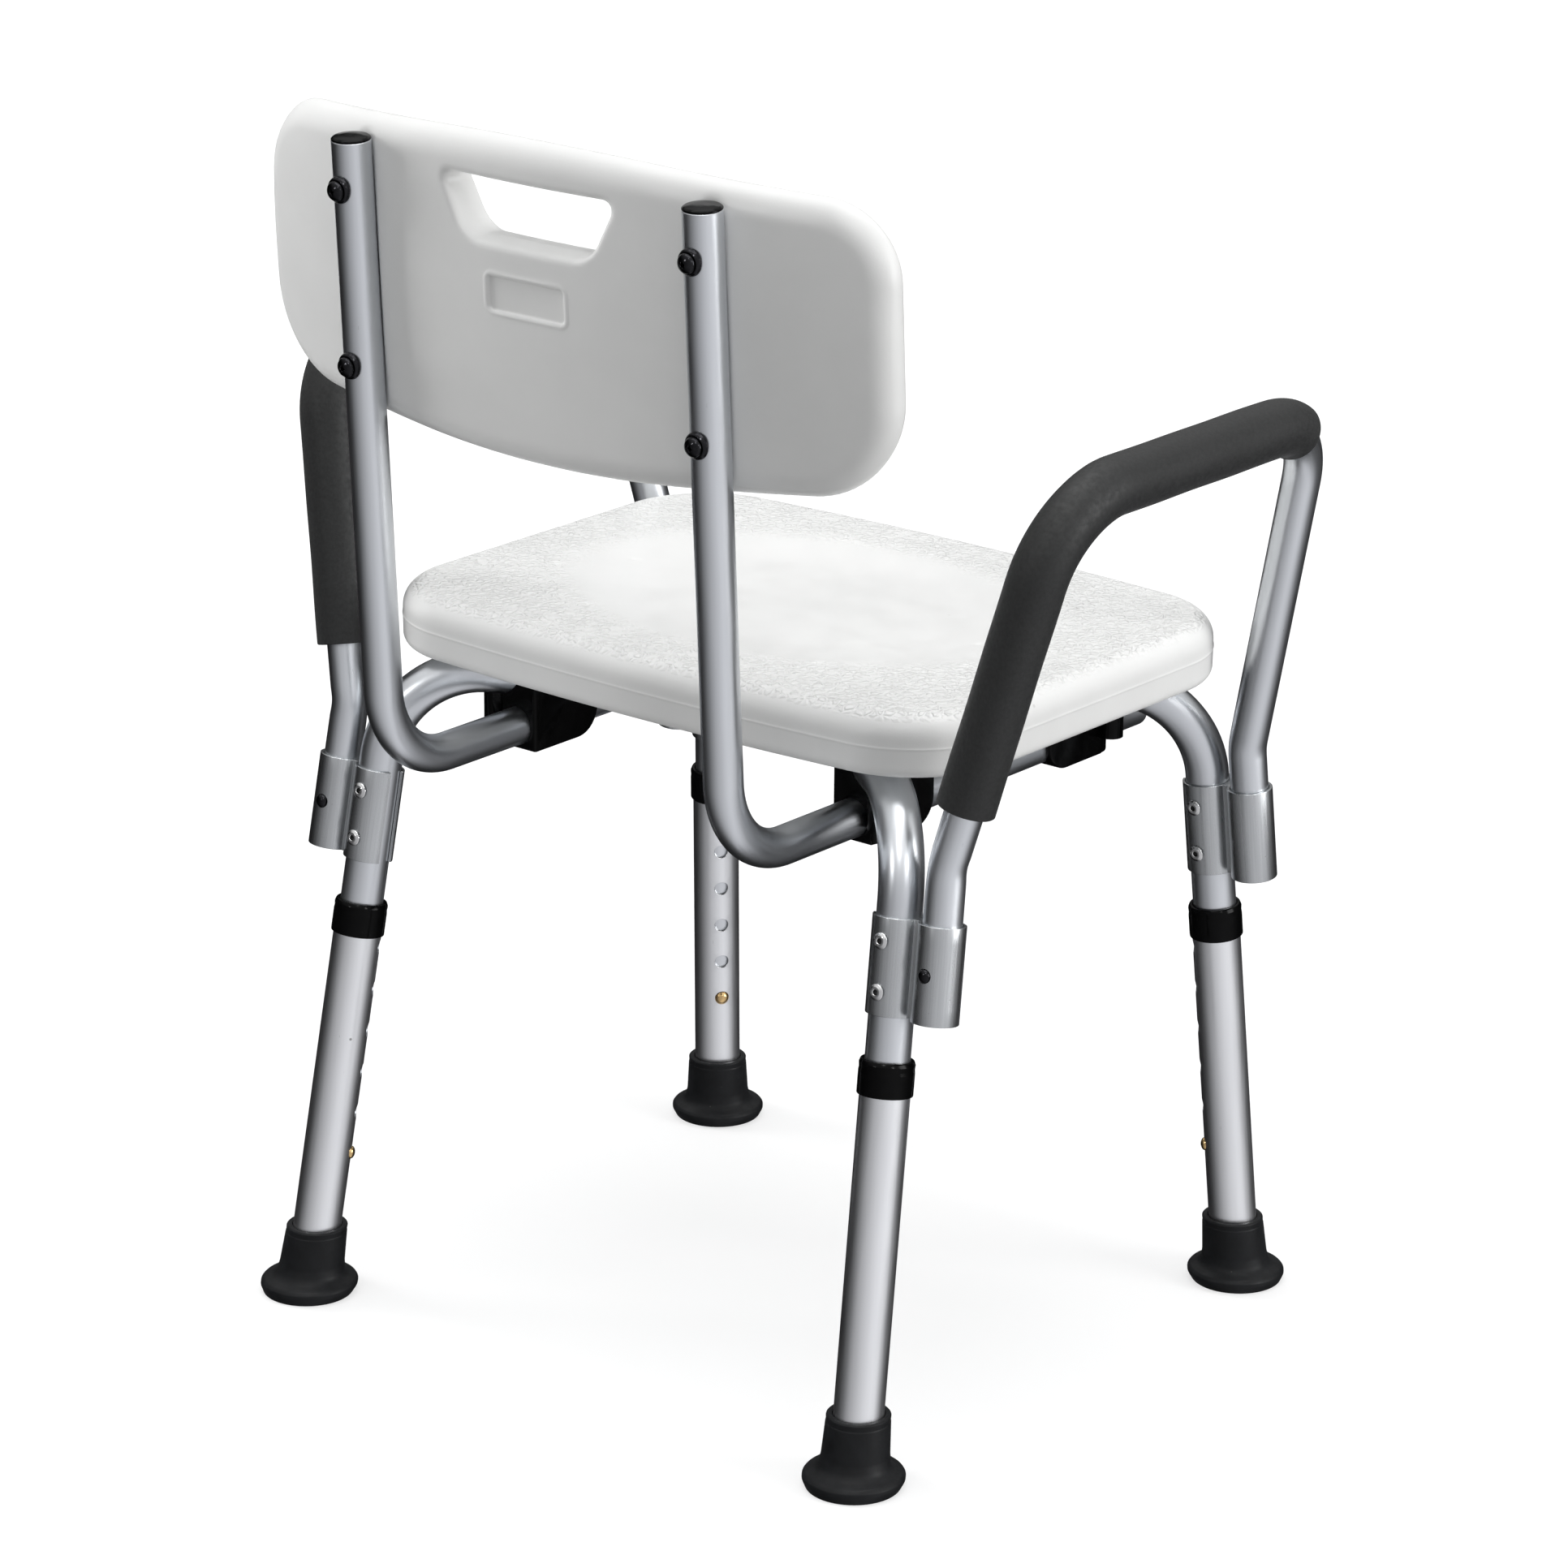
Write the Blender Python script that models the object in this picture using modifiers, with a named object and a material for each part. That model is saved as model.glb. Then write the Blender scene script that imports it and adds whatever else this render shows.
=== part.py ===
"""Height-adjustable shower chair with a backrest and two padded arms.

Metres, +Z up. The origin is under the middle of the chair, on the floor. The sitter faces -Y, so
+X is the sitter's left.
"""

from math import cos, pi, radians, sin, tan

import bmesh
import bpy
from mathutils import Matrix, Quaternion, Vector

GAP = 0.0003
SIDES = {"left": 1, "right": -1}
ENDS = ("rear", "front")
TUBE_SIDES = 16
Z_AXIS = Vector((0, 0, 1))
STAND_UP = Quaternion((1, 0, 0), pi / 2).to_matrix().to_4x4()
# Cutters are turned a little about their own axes, so that none of their edges lies on a part's edge.
CUTTER_TURN = (1, 0.21, 0.13)

# Legs: where each axis meets the floor, and how far it leans in for each metre of height.
LEG_FOOT = {"rear": (0.208, 0.1759), "front": (0.203, -0.1981)}
LEG_LEAN = {"rear": (0.047, 0.167), "front": (0.050, -0.075)}
LEG_RADIUS, LEG_WALL = 0.0127, 0.0014
LEG_START = 0.062
ARCH_Z = 0.3762
ARCH_BEND, ARCH_STEPS = 0.060, 4
DIP_OUTER, DIP_INNER, DIP_DEPTH, DIP_BEND = 0.100, 0.044, 0.0262, 0.045

# Leg extensions, with six holes at one inch.
EXTENSION_RADIUS, EXTENSION_WALL = 0.0142, 0.0012
EXTENSION_START, EXTENSION_TOP = 0.011, 0.240
HOLE_START, HOLE_PITCH, HOLES = 0.088, 0.0254, 6
COLLAR_RADIUS, COLLAR_HEIGHT, COLLAR_LIP = 0.0157, 0.018, 0.002
FOOT_HEIGHT, FOOT_FLANGE, FOOT_NECK, FOOT_TOP = 0.041, 0.029, 0.0196, 0.0182

# Snap buttons.
PIN_RADIUS, PIN_HOLE = 0.0039, 0.0042
LEAF_WIDTH, LEAF_THICKNESS = 0.008, 0.0009

# Arm brackets: the clamp half on the leg and the socket half beside it.
BRACKET_Z, BRACKET_LENGTH = 0.291, 0.055
CLAMP_WALL, SOCKET_WALL = 0.0016, 0.0020
SOCKET_OFFSET = 0.0298
CLAMP_SLIT = radians(20)
RIVET_SPACING, RIVET_HOLE, RIVET_SHANK, RIVET_HEAD = 0.0285, 0.0027, 0.0024, 0.0048

# Arms.
ARM_RADIUS, ARM_WALL = 0.0111, 0.0012
ARM_BENDS = {"rear": (0.2689, 0.0864), "front": (0.2668, -0.1521)}
ARM_TOP_Z, ARM_BOTTOM_Z = 0.5565, 0.2665
ARM_KNEE_Z = {"rear": 0.351, "front": 0.345}
ARM_BEND_RADIUS = {"rear": 0.056, "front": 0.046}
ARM_KNEE_RADIUS = 0.040
GRIP_RADIUS, GRIP_START_Z = 0.01675, 0.384

# Back tubes. Z in the back's own frame runs up the uprights from the centre of the lower bend.
BACK_X, BACK_CORNER = 0.125, (0.1885, 0.347)
BACK_LEAN = 0.060
BACK_TUBE_RADIUS, BACK_TUBE_WALL, BACK_BEND = 0.0111, 0.0012, 0.052
UPRIGHT_LENGTH, RUNNER_FRONT_Y = 0.3695, -0.1838
PLUG_CAP, PLUG_STUB = 0.0025, 0.012
SCREW_HEIGHTS = (0.2434, 0.3436)

# Backrest, in the same frame.
REST_HALF_WIDTH, REST_TOP, REST_BOTTOM = 0.2245, 0.3852, 0.203
REST_CORNER_Z, REST_SHOULDER_Z = 0.2165, 0.3745
REST_THICKNESS, REST_EDGE, REST_BEND_RADIUS = 0.026, 0.0115, 0.750
REST_REAR = 0.003
SLOT_Z, SLOT_HEIGHT, SLOT_TOP, SLOT_BOTTOM = 0.345, 0.034, 0.062, 0.044
LABEL_Z, LABEL_SIZE, LABEL_DEPTH = 0.300, (0.054, 0.019), 0.002

# Seat.
SEAT_HALF_WIDTH, SEAT_REAR_Y, SEAT_FRONT_Y = 0.213, 0.1252, -0.1888
SEAT_BOTTOM, SEAT_TOP, SEAT_CORNER, SEAT_EDGE = 0.3895, 0.425, 0.060, 0.011
SEAT_BOW = 0.008
DISH_DEPTH, DISH_HALF = 0.004, (0.165, 0.115)

# Tube brackets, frame screws and back screws.
# A tube bracket lies along the runner and reaches further from the arch towards the chair's middle.
BLOCK_WIDTH, BLOCK_OUTWARD, BLOCK_INWARD = 0.0285, 0.0155, 0.0405
BLOCK_BOTTOM, BLOCK_CORNER = 0.3330, 0.017
BOSS_RADIUS, BOSS_BOTTOM = 0.0073, 0.3440
FRAME_SCREW_REACH, FRAME_SCREW_SEAT, FRAME_SCREW_HEAD = 0.022, 0.3500, 0.0047
WASHER_RADIUS, WASHER_THICKNESS = 0.0078, 0.0025
SCREW_SHANK, SCREW_HOLE = 0.0025, 0.0028
SCREW_HEAD_RADIUS, SCREW_HEAD_HEIGHT = 0.0056, 0.0038

for old in list(bpy.data.objects):
    bpy.data.objects.remove(old, do_unlink=True)


def new_collection(name, hidden=False):
    collection = bpy.data.collections.new(name)
    collection.hide_render = hidden
    bpy.context.scene.collection.children.link(collection)
    return collection


PARTS = new_collection("shower_chair")
CUTTERS = new_collection("cutters", hidden=True)


def new_material(name, colour, roughness, metallic=0.0):
    material = bpy.data.materials.new(name)
    material.use_nodes = True
    shader = material.node_tree.nodes["Principled BSDF"]
    shader.inputs["Base Color"].default_value = (*colour, 1)
    shader.inputs["Roughness"].default_value = roughness
    shader.inputs["Metallic"].default_value = metallic
    return material


WHITE = new_material("white_plastic", (0.84, 0.84, 0.83), 0.42)
SILVER = new_material("satin_aluminium", (0.56, 0.57, 0.58), 0.34, 1.0)
EXTRUSION = new_material("bracket_aluminium", (0.50, 0.51, 0.52), 0.30, 1.0)
BLACK = new_material("black_plastic", (0.012, 0.012, 0.012), 0.35)
RUBBER = new_material("black_rubber", (0.020, 0.020, 0.020), 0.70)
FOAM = new_material("charcoal_foam", (0.032, 0.032, 0.033), 0.80)
BRASS = new_material("brass", (0.62, 0.45, 0.24), 0.30, 1.0)
DARK_CHROME = new_material("dark_chrome", (0.12, 0.12, 0.125), 0.15, 1.0)
STEEL = new_material("bright_steel", (0.65, 0.65, 0.65), 0.22, 1.0)


# Frames and paths.


def frame(origin, z_axis, x_hint):
    """A placement with Z along z_axis and X as near x_hint as that allows."""
    z_axis = Vector(z_axis).normalized()
    x_axis = Vector(x_hint) - z_axis * Vector(x_hint).dot(z_axis)
    x_axis.normalize()
    rotation = Matrix((x_axis, z_axis.cross(x_axis), z_axis)).transposed().to_4x4()
    return Matrix.Translation(origin) @ rotation


def arc_corner(before, corner, after, radius, steps):
    """The points of the arc that rounds the corner between two straight runs."""
    back = (before - corner).normalized()
    onward = (after - corner).normalized()
    half = back.angle(onward) / 2
    centre = corner + (back + onward).normalized() * radius / sin(half)
    start = corner + back * radius / tan(half) - centre
    turn_axis = onward.cross(back).normalized()
    sweep = pi - 2 * half
    return [centre + Quaternion(turn_axis, sweep * i / steps) @ start for i in range(steps + 1)]


def rounded_path(corners, radii, steps):
    """An open path through corners; each inner one is rounded by its own radius and steps."""
    points = [corners[0]]
    for i, (radius, count) in enumerate(zip(radii, steps), start=1):
        points += arc_corner(corners[i - 1], corners[i], corners[i + 1], radius, count)
    return points + [corners[-1]]


def rounded_outline(corners, radii, steps):
    """A closed outline in the XY plane with each corner rounded."""
    corners = [Vector((x, y, 0)) for x, y in corners]
    points = []
    for i, (radius, count) in enumerate(zip(radii, steps)):
        after = corners[(i + 1) % len(corners)]
        points += arc_corner(corners[i - 1], corners[i], after, radius, count)
    return [(point.x, point.y) for point in points]


def arc(centre, radius, start, end, steps):
    angles = [start + (end - start) * i / steps for i in range(steps + 1)]
    return [(centre[0] + radius * cos(a), centre[1] + radius * sin(a)) for a in angles]


# Solids.


def add(name, data, material=None, matrix=None, parent=None):
    """A new object: a part where it has a material, otherwise a cutter."""
    obj = bpy.data.objects.new(name, data)
    obj.parent = parent
    if matrix is not None:
        obj.matrix_basis = matrix
    if material:
        obj.data.materials.append(material)
        PARTS.objects.link(obj)
    else:
        CUTTERS.objects.link(obj)
        obj.hide_render = True
        obj.display_type = "WIRE"
    return obj


def axis_empty(name, matrix):
    empty = bpy.data.objects.new(name, None)
    empty.empty_display_size = 0.05
    empty.matrix_world = matrix
    PARTS.objects.link(empty)
    return empty


def smooth(mesh, angle=35):
    mesh.shade_smooth()
    mesh.set_sharp_from_angle(angle=radians(angle))
    return mesh


def mesh_of(curve, weld=1e-6):
    """The mesh that a curve makes, with its loose caps welded."""
    holder = bpy.data.objects.new("curve", curve)
    CUTTERS.objects.link(holder)
    graph = bpy.context.evaluated_depsgraph_get()
    mesh = bpy.data.meshes.new_from_object(holder.evaluated_get(graph))
    bpy.data.objects.remove(holder)
    edit = bmesh.new()
    edit.from_mesh(mesh)
    bmesh.ops.remove_doubles(edit, verts=edit.verts, dist=weld)
    bmesh.ops.recalc_face_normals(edit, faces=edit.faces)
    edit.to_mesh(mesh)
    edit.free()
    return mesh


def poly_curve(name, paths, dimensions="3D", closed=False):
    curve = bpy.data.curves.new(name, "CURVE")
    curve.dimensions = dimensions
    for path in paths:
        spline = curve.splines.new("POLY")
        spline.points.add(len(path) - 1)
        for point, position in zip(spline.points, path):
            point.co = (*position, 1) if len(position) == 3 else (*position, 0, 1)
        spline.use_cyclic_u = closed
    return curve


def slab_mesh(name, outlines, thickness, edge=0.0, edge_steps=2):
    """A flat outline, with holes where more than one is given, thickened evenly about Z = 0."""
    curve = poly_curve(name, outlines, "2D", closed=True)
    curve.fill_mode = "BOTH"
    curve.extrude = thickness / 2 - edge
    curve.bevel_depth = edge
    curve.bevel_resolution = edge_steps
    curve.offset = -edge
    return smooth(mesh_of(curve))


def tube(name, path, radius, wall, material, sides=TUBE_SIDES):
    """An open-ended tube along a path."""
    curve = poly_curve(name, [path])
    curve.bevel_depth = radius
    curve.bevel_resolution = sides // 2 - 2
    mesh = mesh_of(curve)
    obj = add(name, smooth(mesh), material)
    shell = obj.modifiers.new("wall", "SOLIDIFY")
    shell.thickness = wall
    shell.offset = -1
    shell.use_even_offset = True
    return obj


def turned(name, profile, material, matrix=None, parent=None, steps=16, closed=False):
    """A profile of (radius, height) points, turned about Z."""
    mesh = bpy.data.meshes.new(name)
    edges = [(i, i + 1) for i in range(len(profile) - 1)]
    if closed:
        edges.append((len(profile) - 1, 0))
    mesh.from_pydata([(radius, 0, height) for radius, height in profile], edges, [])
    obj = add(name, mesh, material, matrix, parent)
    screw = obj.modifiers.new("turn", "SCREW")
    screw.steps = steps
    screw.render_steps = steps
    screw.use_merge_vertices = True
    screw.merge_threshold = 0.00001
    screw.use_smooth_shade = True
    return obj


def cylinder(name, radius, start, end, sides=12, material=None, parent=None):
    """A closed cylinder between two points."""
    start, end = Vector(start), Vector(end)
    span = end - start
    edit = bmesh.new()
    bmesh.ops.create_cone(
        edit, cap_ends=True, segments=sides, radius1=radius, radius2=radius, depth=span.length
    )
    mesh = bpy.data.meshes.new(name)
    hint = (1, 0, 0) if abs(span.normalized().x) < 0.9 else (0, 1, 0)
    edit.transform(frame((start + end) / 2, span, hint))
    edit.to_mesh(mesh)
    edit.free()
    return add(name, smooth(mesh), material, parent=parent)


def box(name, low, high, matrix=None, parent=None):
    edit = bmesh.new()
    bmesh.ops.create_cube(edit, size=1)
    size = Vector(high) - Vector(low)
    edit.transform(Matrix.Translation((Vector(high) + Vector(low)) / 2) @ Matrix.Diagonal((*size, 1)))
    mesh = bpy.data.meshes.new(name)
    edit.to_mesh(mesh)
    edit.free()
    return add(name, mesh, matrix=matrix, parent=parent)


def boolean(obj, other, operation="DIFFERENCE"):
    modifier = obj.modifiers.new(other.name, "BOOLEAN")
    modifier.operation = operation
    modifier.solver = "EXACT"
    modifier.object = other


def joined_cutter(name, pieces, parent=None, sides=10):
    """One cutter made of separate cylinders, each given as (radius, start, end)."""
    edit = bmesh.new()
    for radius, start, end in pieces:
        span = Vector(end) - Vector(start)
        bmesh.ops.create_cone(
            edit,
            cap_ends=True,
            segments=sides,
            radius1=radius,
            radius2=radius,
            depth=span.length,
            matrix=frame((Vector(start) + Vector(end)) / 2, span, CUTTER_TURN),
        )
    mesh = bpy.data.meshes.new(name)
    edit.to_mesh(mesh)
    edit.free()
    return add(name, mesh, parent=parent)


def snap_spring(name, material, parent, pin_end, inner_radius, travel):
    """A leaf spring and its pin. The pin points along +X; the leaf runs down the tube along Z."""
    clear = inner_radius * cos(pi / TUBE_SIDES) - GAP
    near = (clear**2 - (LEAF_WIDTH / 2) ** 2) ** 0.5 - LEAF_THICKNESS / 2
    far = travel - near
    nose = [(0.25 * far, 0.020), (0.0, 0.0225), (0.3 * near, 0.0215)]
    path = [(far, -0.010), *nose, (near, 0.008), (near, -0.006)]
    curve = poly_curve(name, [path], "2D")
    curve.extrude = LEAF_WIDTH / 2
    mesh = mesh_of(curve)
    mesh.transform(STAND_UP)
    leaf = add(name, mesh, material, parent=parent)
    thickness = leaf.modifiers.new("leaf", "SOLIDIFY")
    thickness.thickness = LEAF_THICKNESS
    thickness.offset = 0
    dome = PIN_RADIUS * 0.62
    profile = [(0, pin_end), (0.55 * PIN_RADIUS, pin_end - 0.0004), (0.88 * PIN_RADIUS, pin_end - 0.0013)]
    profile += [(PIN_RADIUS, pin_end - dome), (PIN_RADIUS, near - 0.0002), (0, near - 0.0002)]
    to_x = Quaternion((0, 1, 0), pi / 2).to_matrix().to_4x4()
    pin = turned(name + "_pin", profile, None, to_x, parent, steps=8)
    boolean(leaf, pin, "UNION")
    return leaf


# Leg axes.


def leg_point(side, end, height):
    """The point of a leg's axis at a height above the floor."""
    foot, lean = LEG_FOOT[end], LEG_LEAN[end]
    return Vector((SIDES[side] * (foot[0] - lean[0] * height), foot[1] - lean[1] * height, height))


def leg_direction(side, end):
    return (leg_point(side, end, 1) - leg_point(side, end, 0)).normalized()


def opposite(side, end):
    return ("right" if side == "left" else "left", "front" if end == "rear" else "rear")


def arch_direction(side, end):
    """The level direction from a leg's top towards the leg at the other end of its arch."""
    away = leg_point(*opposite(side, end), ARCH_Z) - leg_point(side, end, ARCH_Z)
    return away.normalized()


def leg_frame(side, end):
    return frame(leg_point(side, end, 0), leg_direction(side, end), arch_direction(side, end))


def crossing(side, end):
    """Where a leg's arch passes over the back tube's runner."""
    top, along = leg_point(side, end, ARCH_Z), arch_direction(side, end)
    return top + along * (top.x - SIDES[side] * BACK_X) / -along.x


def bracket_frame(side, end):
    """An arm bracket's place: on the leg's axis, with X pointing out to the socket."""
    return frame(leg_point(side, end, BRACKET_Z), leg_direction(side, end), (SIDES[side], 0, 0))


def frame_screw_place(side, end):
    return crossing(side, end) - arch_direction(side, end) * FRAME_SCREW_REACH


CORNERS = [(side, end) for end in ENDS for side in SIDES]
LEG_AXES = {key: axis_empty("leg_axis_%s_%s" % (key[1], key[0]), leg_frame(*key)) for key in CORNERS}
BRACKET_AXES = {
    key: axis_empty("bracket_axis_%s_%s" % (key[1], key[0]), bracket_frame(*key)) for key in CORNERS
}
BACK_PLACE = frame((0, *BACK_CORNER), (0, BACK_LEAN, 1), (1, 0, 0))
BACK_AXIS = axis_empty("back_axis", BACK_PLACE)


def build_leg_arch(name, rear_side, dipped):
    """One tube from a rear leg, across under the seat, down to the opposite front leg."""
    start, finish = (rear_side, "rear"), opposite(rear_side, "rear")
    top_start, top_finish = leg_point(*start, ARCH_Z), leg_point(*finish, ARCH_Z)
    along = arch_direction(*start)
    low_start = LEG_AXES[start].matrix_world @ Vector((0, 0, LEG_START))
    low_finish = LEG_AXES[finish].matrix_world @ Vector((0, 0, LEG_START))
    corners, radii, steps = [low_start, top_start], [ARCH_BEND], [ARCH_STEPS]
    if dipped:
        middle = top_start + along * (top_start.x / -along.x)
        down = Vector((0, 0, -DIP_DEPTH))
        for reach, drop in ((-DIP_OUTER, 0), (-DIP_INNER, 1), (DIP_INNER, 1), (DIP_OUTER, 0)):
            corners.append(middle + along * reach + down * drop)
            radii.append(DIP_BEND)
            steps.append(2)
    corners += [top_finish, low_finish]
    radii.append(ARCH_BEND)
    steps.append(ARCH_STEPS)
    arch = tube(name, rounded_path(corners, radii, steps), LEG_RADIUS, LEG_WALL, SILVER)
    holes = []
    for side, end in (start, finish):
        leg, bracket = LEG_AXES[(side, end)].matrix_world, BRACKET_AXES[(side, end)].matrix_world
        button = (leg @ Vector((0.005, 0, HOLE_START)), leg @ Vector((0.020, 0, HOLE_START)))
        holes.append((PIN_HOLE, *button))
        for height in (-RIVET_SPACING / 2, RIVET_SPACING / 2):
            ends = [bracket @ Vector((0, SIDES[side] * y, height)) for y in (0.005, 0.020)]
            holes.append((RIVET_HOLE, *ends))
        screw = frame_screw_place(side, end)
        holes.append((SCREW_HOLE, screw - Z_AXIS * 0.02, screw + Z_AXIS * 0.02))
    boolean(arch, joined_cutter(name + "_holes", holes))


def build_leg_extension(side, end):
    label, parent = "%s_%s" % (end, side), LEG_AXES[(side, end)]
    outer, inner = EXTENSION_RADIUS, EXTENSION_RADIUS - EXTENSION_WALL
    profile = [(inner, EXTENSION_TOP), (outer, EXTENSION_TOP)]
    profile += [(outer, EXTENSION_START), (inner, EXTENSION_START)]
    extension = turned(
        "leg_extension_" + label, profile, SILVER, parent=parent, steps=TUBE_SIDES, closed=True
    )
    heights = [HOLE_START + HOLE_PITCH * i for i in range(HOLES)]
    holes = [(PIN_HOLE, (0.005, 0, height), (0.020, 0, height)) for height in heights]
    boolean(extension, joined_cutter("height_holes_" + label, holes, parent))

    top, over = EXTENSION_TOP + GAP, outer + GAP
    lip = LEG_RADIUS + GAP
    profile = [(lip, top + COLLAR_LIP), (COLLAR_RADIUS - 0.0008, top + COLLAR_LIP)]
    profile += [(COLLAR_RADIUS, top + COLLAR_LIP - 0.0008), (COLLAR_RADIUS, top - COLLAR_HEIGHT)]
    profile += [(over, top - COLLAR_HEIGHT), (over, top), (lip, top)]
    turned("leg_collar_" + label, profile, BLACK, parent=parent, steps=TUBE_SIDES, closed=True)

    button = HOLE_START * Z_AXIS
    spring_parent = axis_empty("leg_button_axis_" + label, parent.matrix_world @ Matrix.Translation(button))
    inner_radius = LEG_RADIUS - LEG_WALL
    snap_spring(
        "leg_snap_button_" + label, BRASS, spring_parent, outer + 0.0022, inner_radius, 0.0034
    )


def build_foot(side, end):
    """A rubber tip: level at the floor and slanted along the leg."""
    name = "foot_%s_%s" % (end, side)
    floor, bore = EXTENSION_START - 0.004, EXTENSION_RADIUS + 2 * GAP
    profile = [(0, floor), (bore, floor), (bore, FOOT_HEIGHT), (FOOT_TOP, FOOT_HEIGHT)]
    profile += [(FOOT_NECK, 0.015), (FOOT_NECK + 0.0025, 0.0085)]
    profile += [(FOOT_FLANGE - 0.0015, 0.0065), (FOOT_FLANGE, 0.0045), (FOOT_FLANGE, 0), (0, 0)]
    blank = turned(name + "_blank", profile, None, steps=16)
    graph = bpy.context.evaluated_depsgraph_get()
    mesh = bpy.data.meshes.new_from_object(blank.evaluated_get(graph))
    bpy.data.objects.remove(blank)
    slant = Matrix.Identity(4)
    slant[0][2] = -SIDES[side] * LEG_LEAN[end][0]
    slant[1][2] = -LEG_LEAN[end][1]
    mesh.transform(slant)
    add(name, smooth(mesh), RUBBER, Matrix.Translation(leg_point(side, end, 0)))


def build_arm_bracket(side, end):
    label, parent = "%s_%s" % (end, side), BRACKET_AXES[(side, end)]
    clamp_in = LEG_RADIUS + GAP
    clamp_out = clamp_in + CLAMP_WALL
    socket_in = ARM_RADIUS + GAP
    socket_out = socket_in + SOCKET_WALL
    socket_centre = (SOCKET_OFFSET, 0)
    web = 0.0045
    clamp_web, socket_web = web / clamp_out, web / socket_out
    outline = arc((0, 0), clamp_out, clamp_web, pi - CLAMP_SLIT, 6)
    outline += arc((0, 0), clamp_in, pi - CLAMP_SLIT, CLAMP_SLIT - pi, 13)
    outline += arc((0, 0), clamp_out, pi + CLAMP_SLIT, 2 * pi - clamp_web, 6)
    outline += arc(socket_centre, socket_out, pi + socket_web, 3 * pi - socket_web, 13)
    bore = arc(socket_centre, socket_in, 0, 2 * pi, TUBE_SIDES)[:-1]
    mesh = slab_mesh("arm_bracket_" + label, [outline, bore], BRACKET_LENGTH)
    bracket = add("arm_bracket_" + label, mesh, EXTRUSION, parent=parent)
    rear = SIDES[side]
    holes = []
    for i, height in enumerate((-RIVET_SPACING / 2, RIVET_SPACING / 2)):
        holes.append((RIVET_HOLE, (0, rear * 0.009, height), (0, rear * 0.018, height)))
        build_rivet("bracket_rivet_%s_%d" % (label, i + 1), parent, rear, clamp_out, height)
    if end == "rear":
        holes.append((PIN_HOLE, (SOCKET_OFFSET, rear * 0.008, 0), (SOCKET_OFFSET, rear * 0.018, 0)))
    boolean(bracket, joined_cutter("bracket_holes_" + label, holes, parent))


def build_rivet(name, parent, rear, surface, height):
    """A blind rivet with its hollow head outside the bracket."""
    under, top = surface + GAP, surface + GAP + 0.0016
    shank_end = LEG_RADIUS - LEG_WALL - 0.001
    profile = [(0, top - 0.0009), (0.0014, top - 0.0009), (0.0018, top), (0.0034, top)]
    profile += [(RIVET_HEAD, under + 0.0005), (RIVET_HEAD, under), (RIVET_SHANK, under)]
    profile += [(RIVET_SHANK, shank_end), (0, shank_end)]
    turn = Quaternion((1, 0, 0), -rear * pi / 2).to_matrix().to_4x4()
    turned(name, profile, STEEL, Matrix.Translation((0, 0, height)) @ turn, parent, steps=8)


def arm_path(side):
    """The arm tube's path, and the number of points up to the end of its foam."""
    sign = SIDES[side]

    def socket(end, height):
        return leg_point(side, end, height) + Vector((sign * SOCKET_OFFSET, 0, 0))

    corners = [
        socket("rear", ARM_BOTTOM_Z),
        socket("rear", ARM_KNEE_Z["rear"]),
        Vector((sign * ARM_BENDS["rear"][0], ARM_BENDS["rear"][1], ARM_TOP_Z)),
        Vector((sign * ARM_BENDS["front"][0], ARM_BENDS["front"][1], ARM_TOP_Z)),
        socket("front", ARM_KNEE_Z["front"]),
        socket("front", ARM_BOTTOM_Z),
    ]
    bends = [ARM_KNEE_RADIUS, ARM_BEND_RADIUS["rear"], ARM_BEND_RADIUS["front"], ARM_KNEE_RADIUS]
    knee_steps, bend_steps = 2, 4
    path = rounded_path(corners, bends, [knee_steps, bend_steps, bend_steps, knee_steps])
    start = 1 + knee_steps
    end = start + 2 * bend_steps
    low, high = path[start], path[start + 1]
    foam_start = low + (high - low) * (GRIP_START_Z - low.z) / (high.z - low.z)
    return path, [foam_start, *path[start + 1 : end], (path[end - 1] + path[end]) / 2]


def build_arm(side):
    path, foam = arm_path(side)
    arm = tube("arm_tube_" + side, path, ARM_RADIUS, ARM_WALL, SILVER)
    wall = GRIP_RADIUS - ARM_RADIUS - 2 * GAP
    tube("arm_grip_" + side, foam, GRIP_RADIUS, wall, FOAM)
    rear = SIDES[side]
    bracket = BRACKET_AXES[(side, "rear")].matrix_world
    pin_frame = bracket @ Matrix.Translation((SOCKET_OFFSET, 0, 0))
    pin_frame = pin_frame @ Quaternion((0, 0, 1), rear * pi / 2).to_matrix().to_4x4()
    hole = [(PIN_HOLE, pin_frame @ Vector((0.005, 0, 0)), pin_frame @ Vector((0.016, 0, 0)))]
    boolean(arm, joined_cutter("arm_hole_" + side, hole))
    parent = axis_empty("arm_button_axis_" + side, pin_frame)
    surface = ARM_RADIUS + GAP + SOCKET_WALL
    snap_spring(
        "arm_snap_button_" + side, DARK_CHROME, parent, surface + 0.0021, ARM_RADIUS - ARM_WALL, 0.0042
    )


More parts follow.
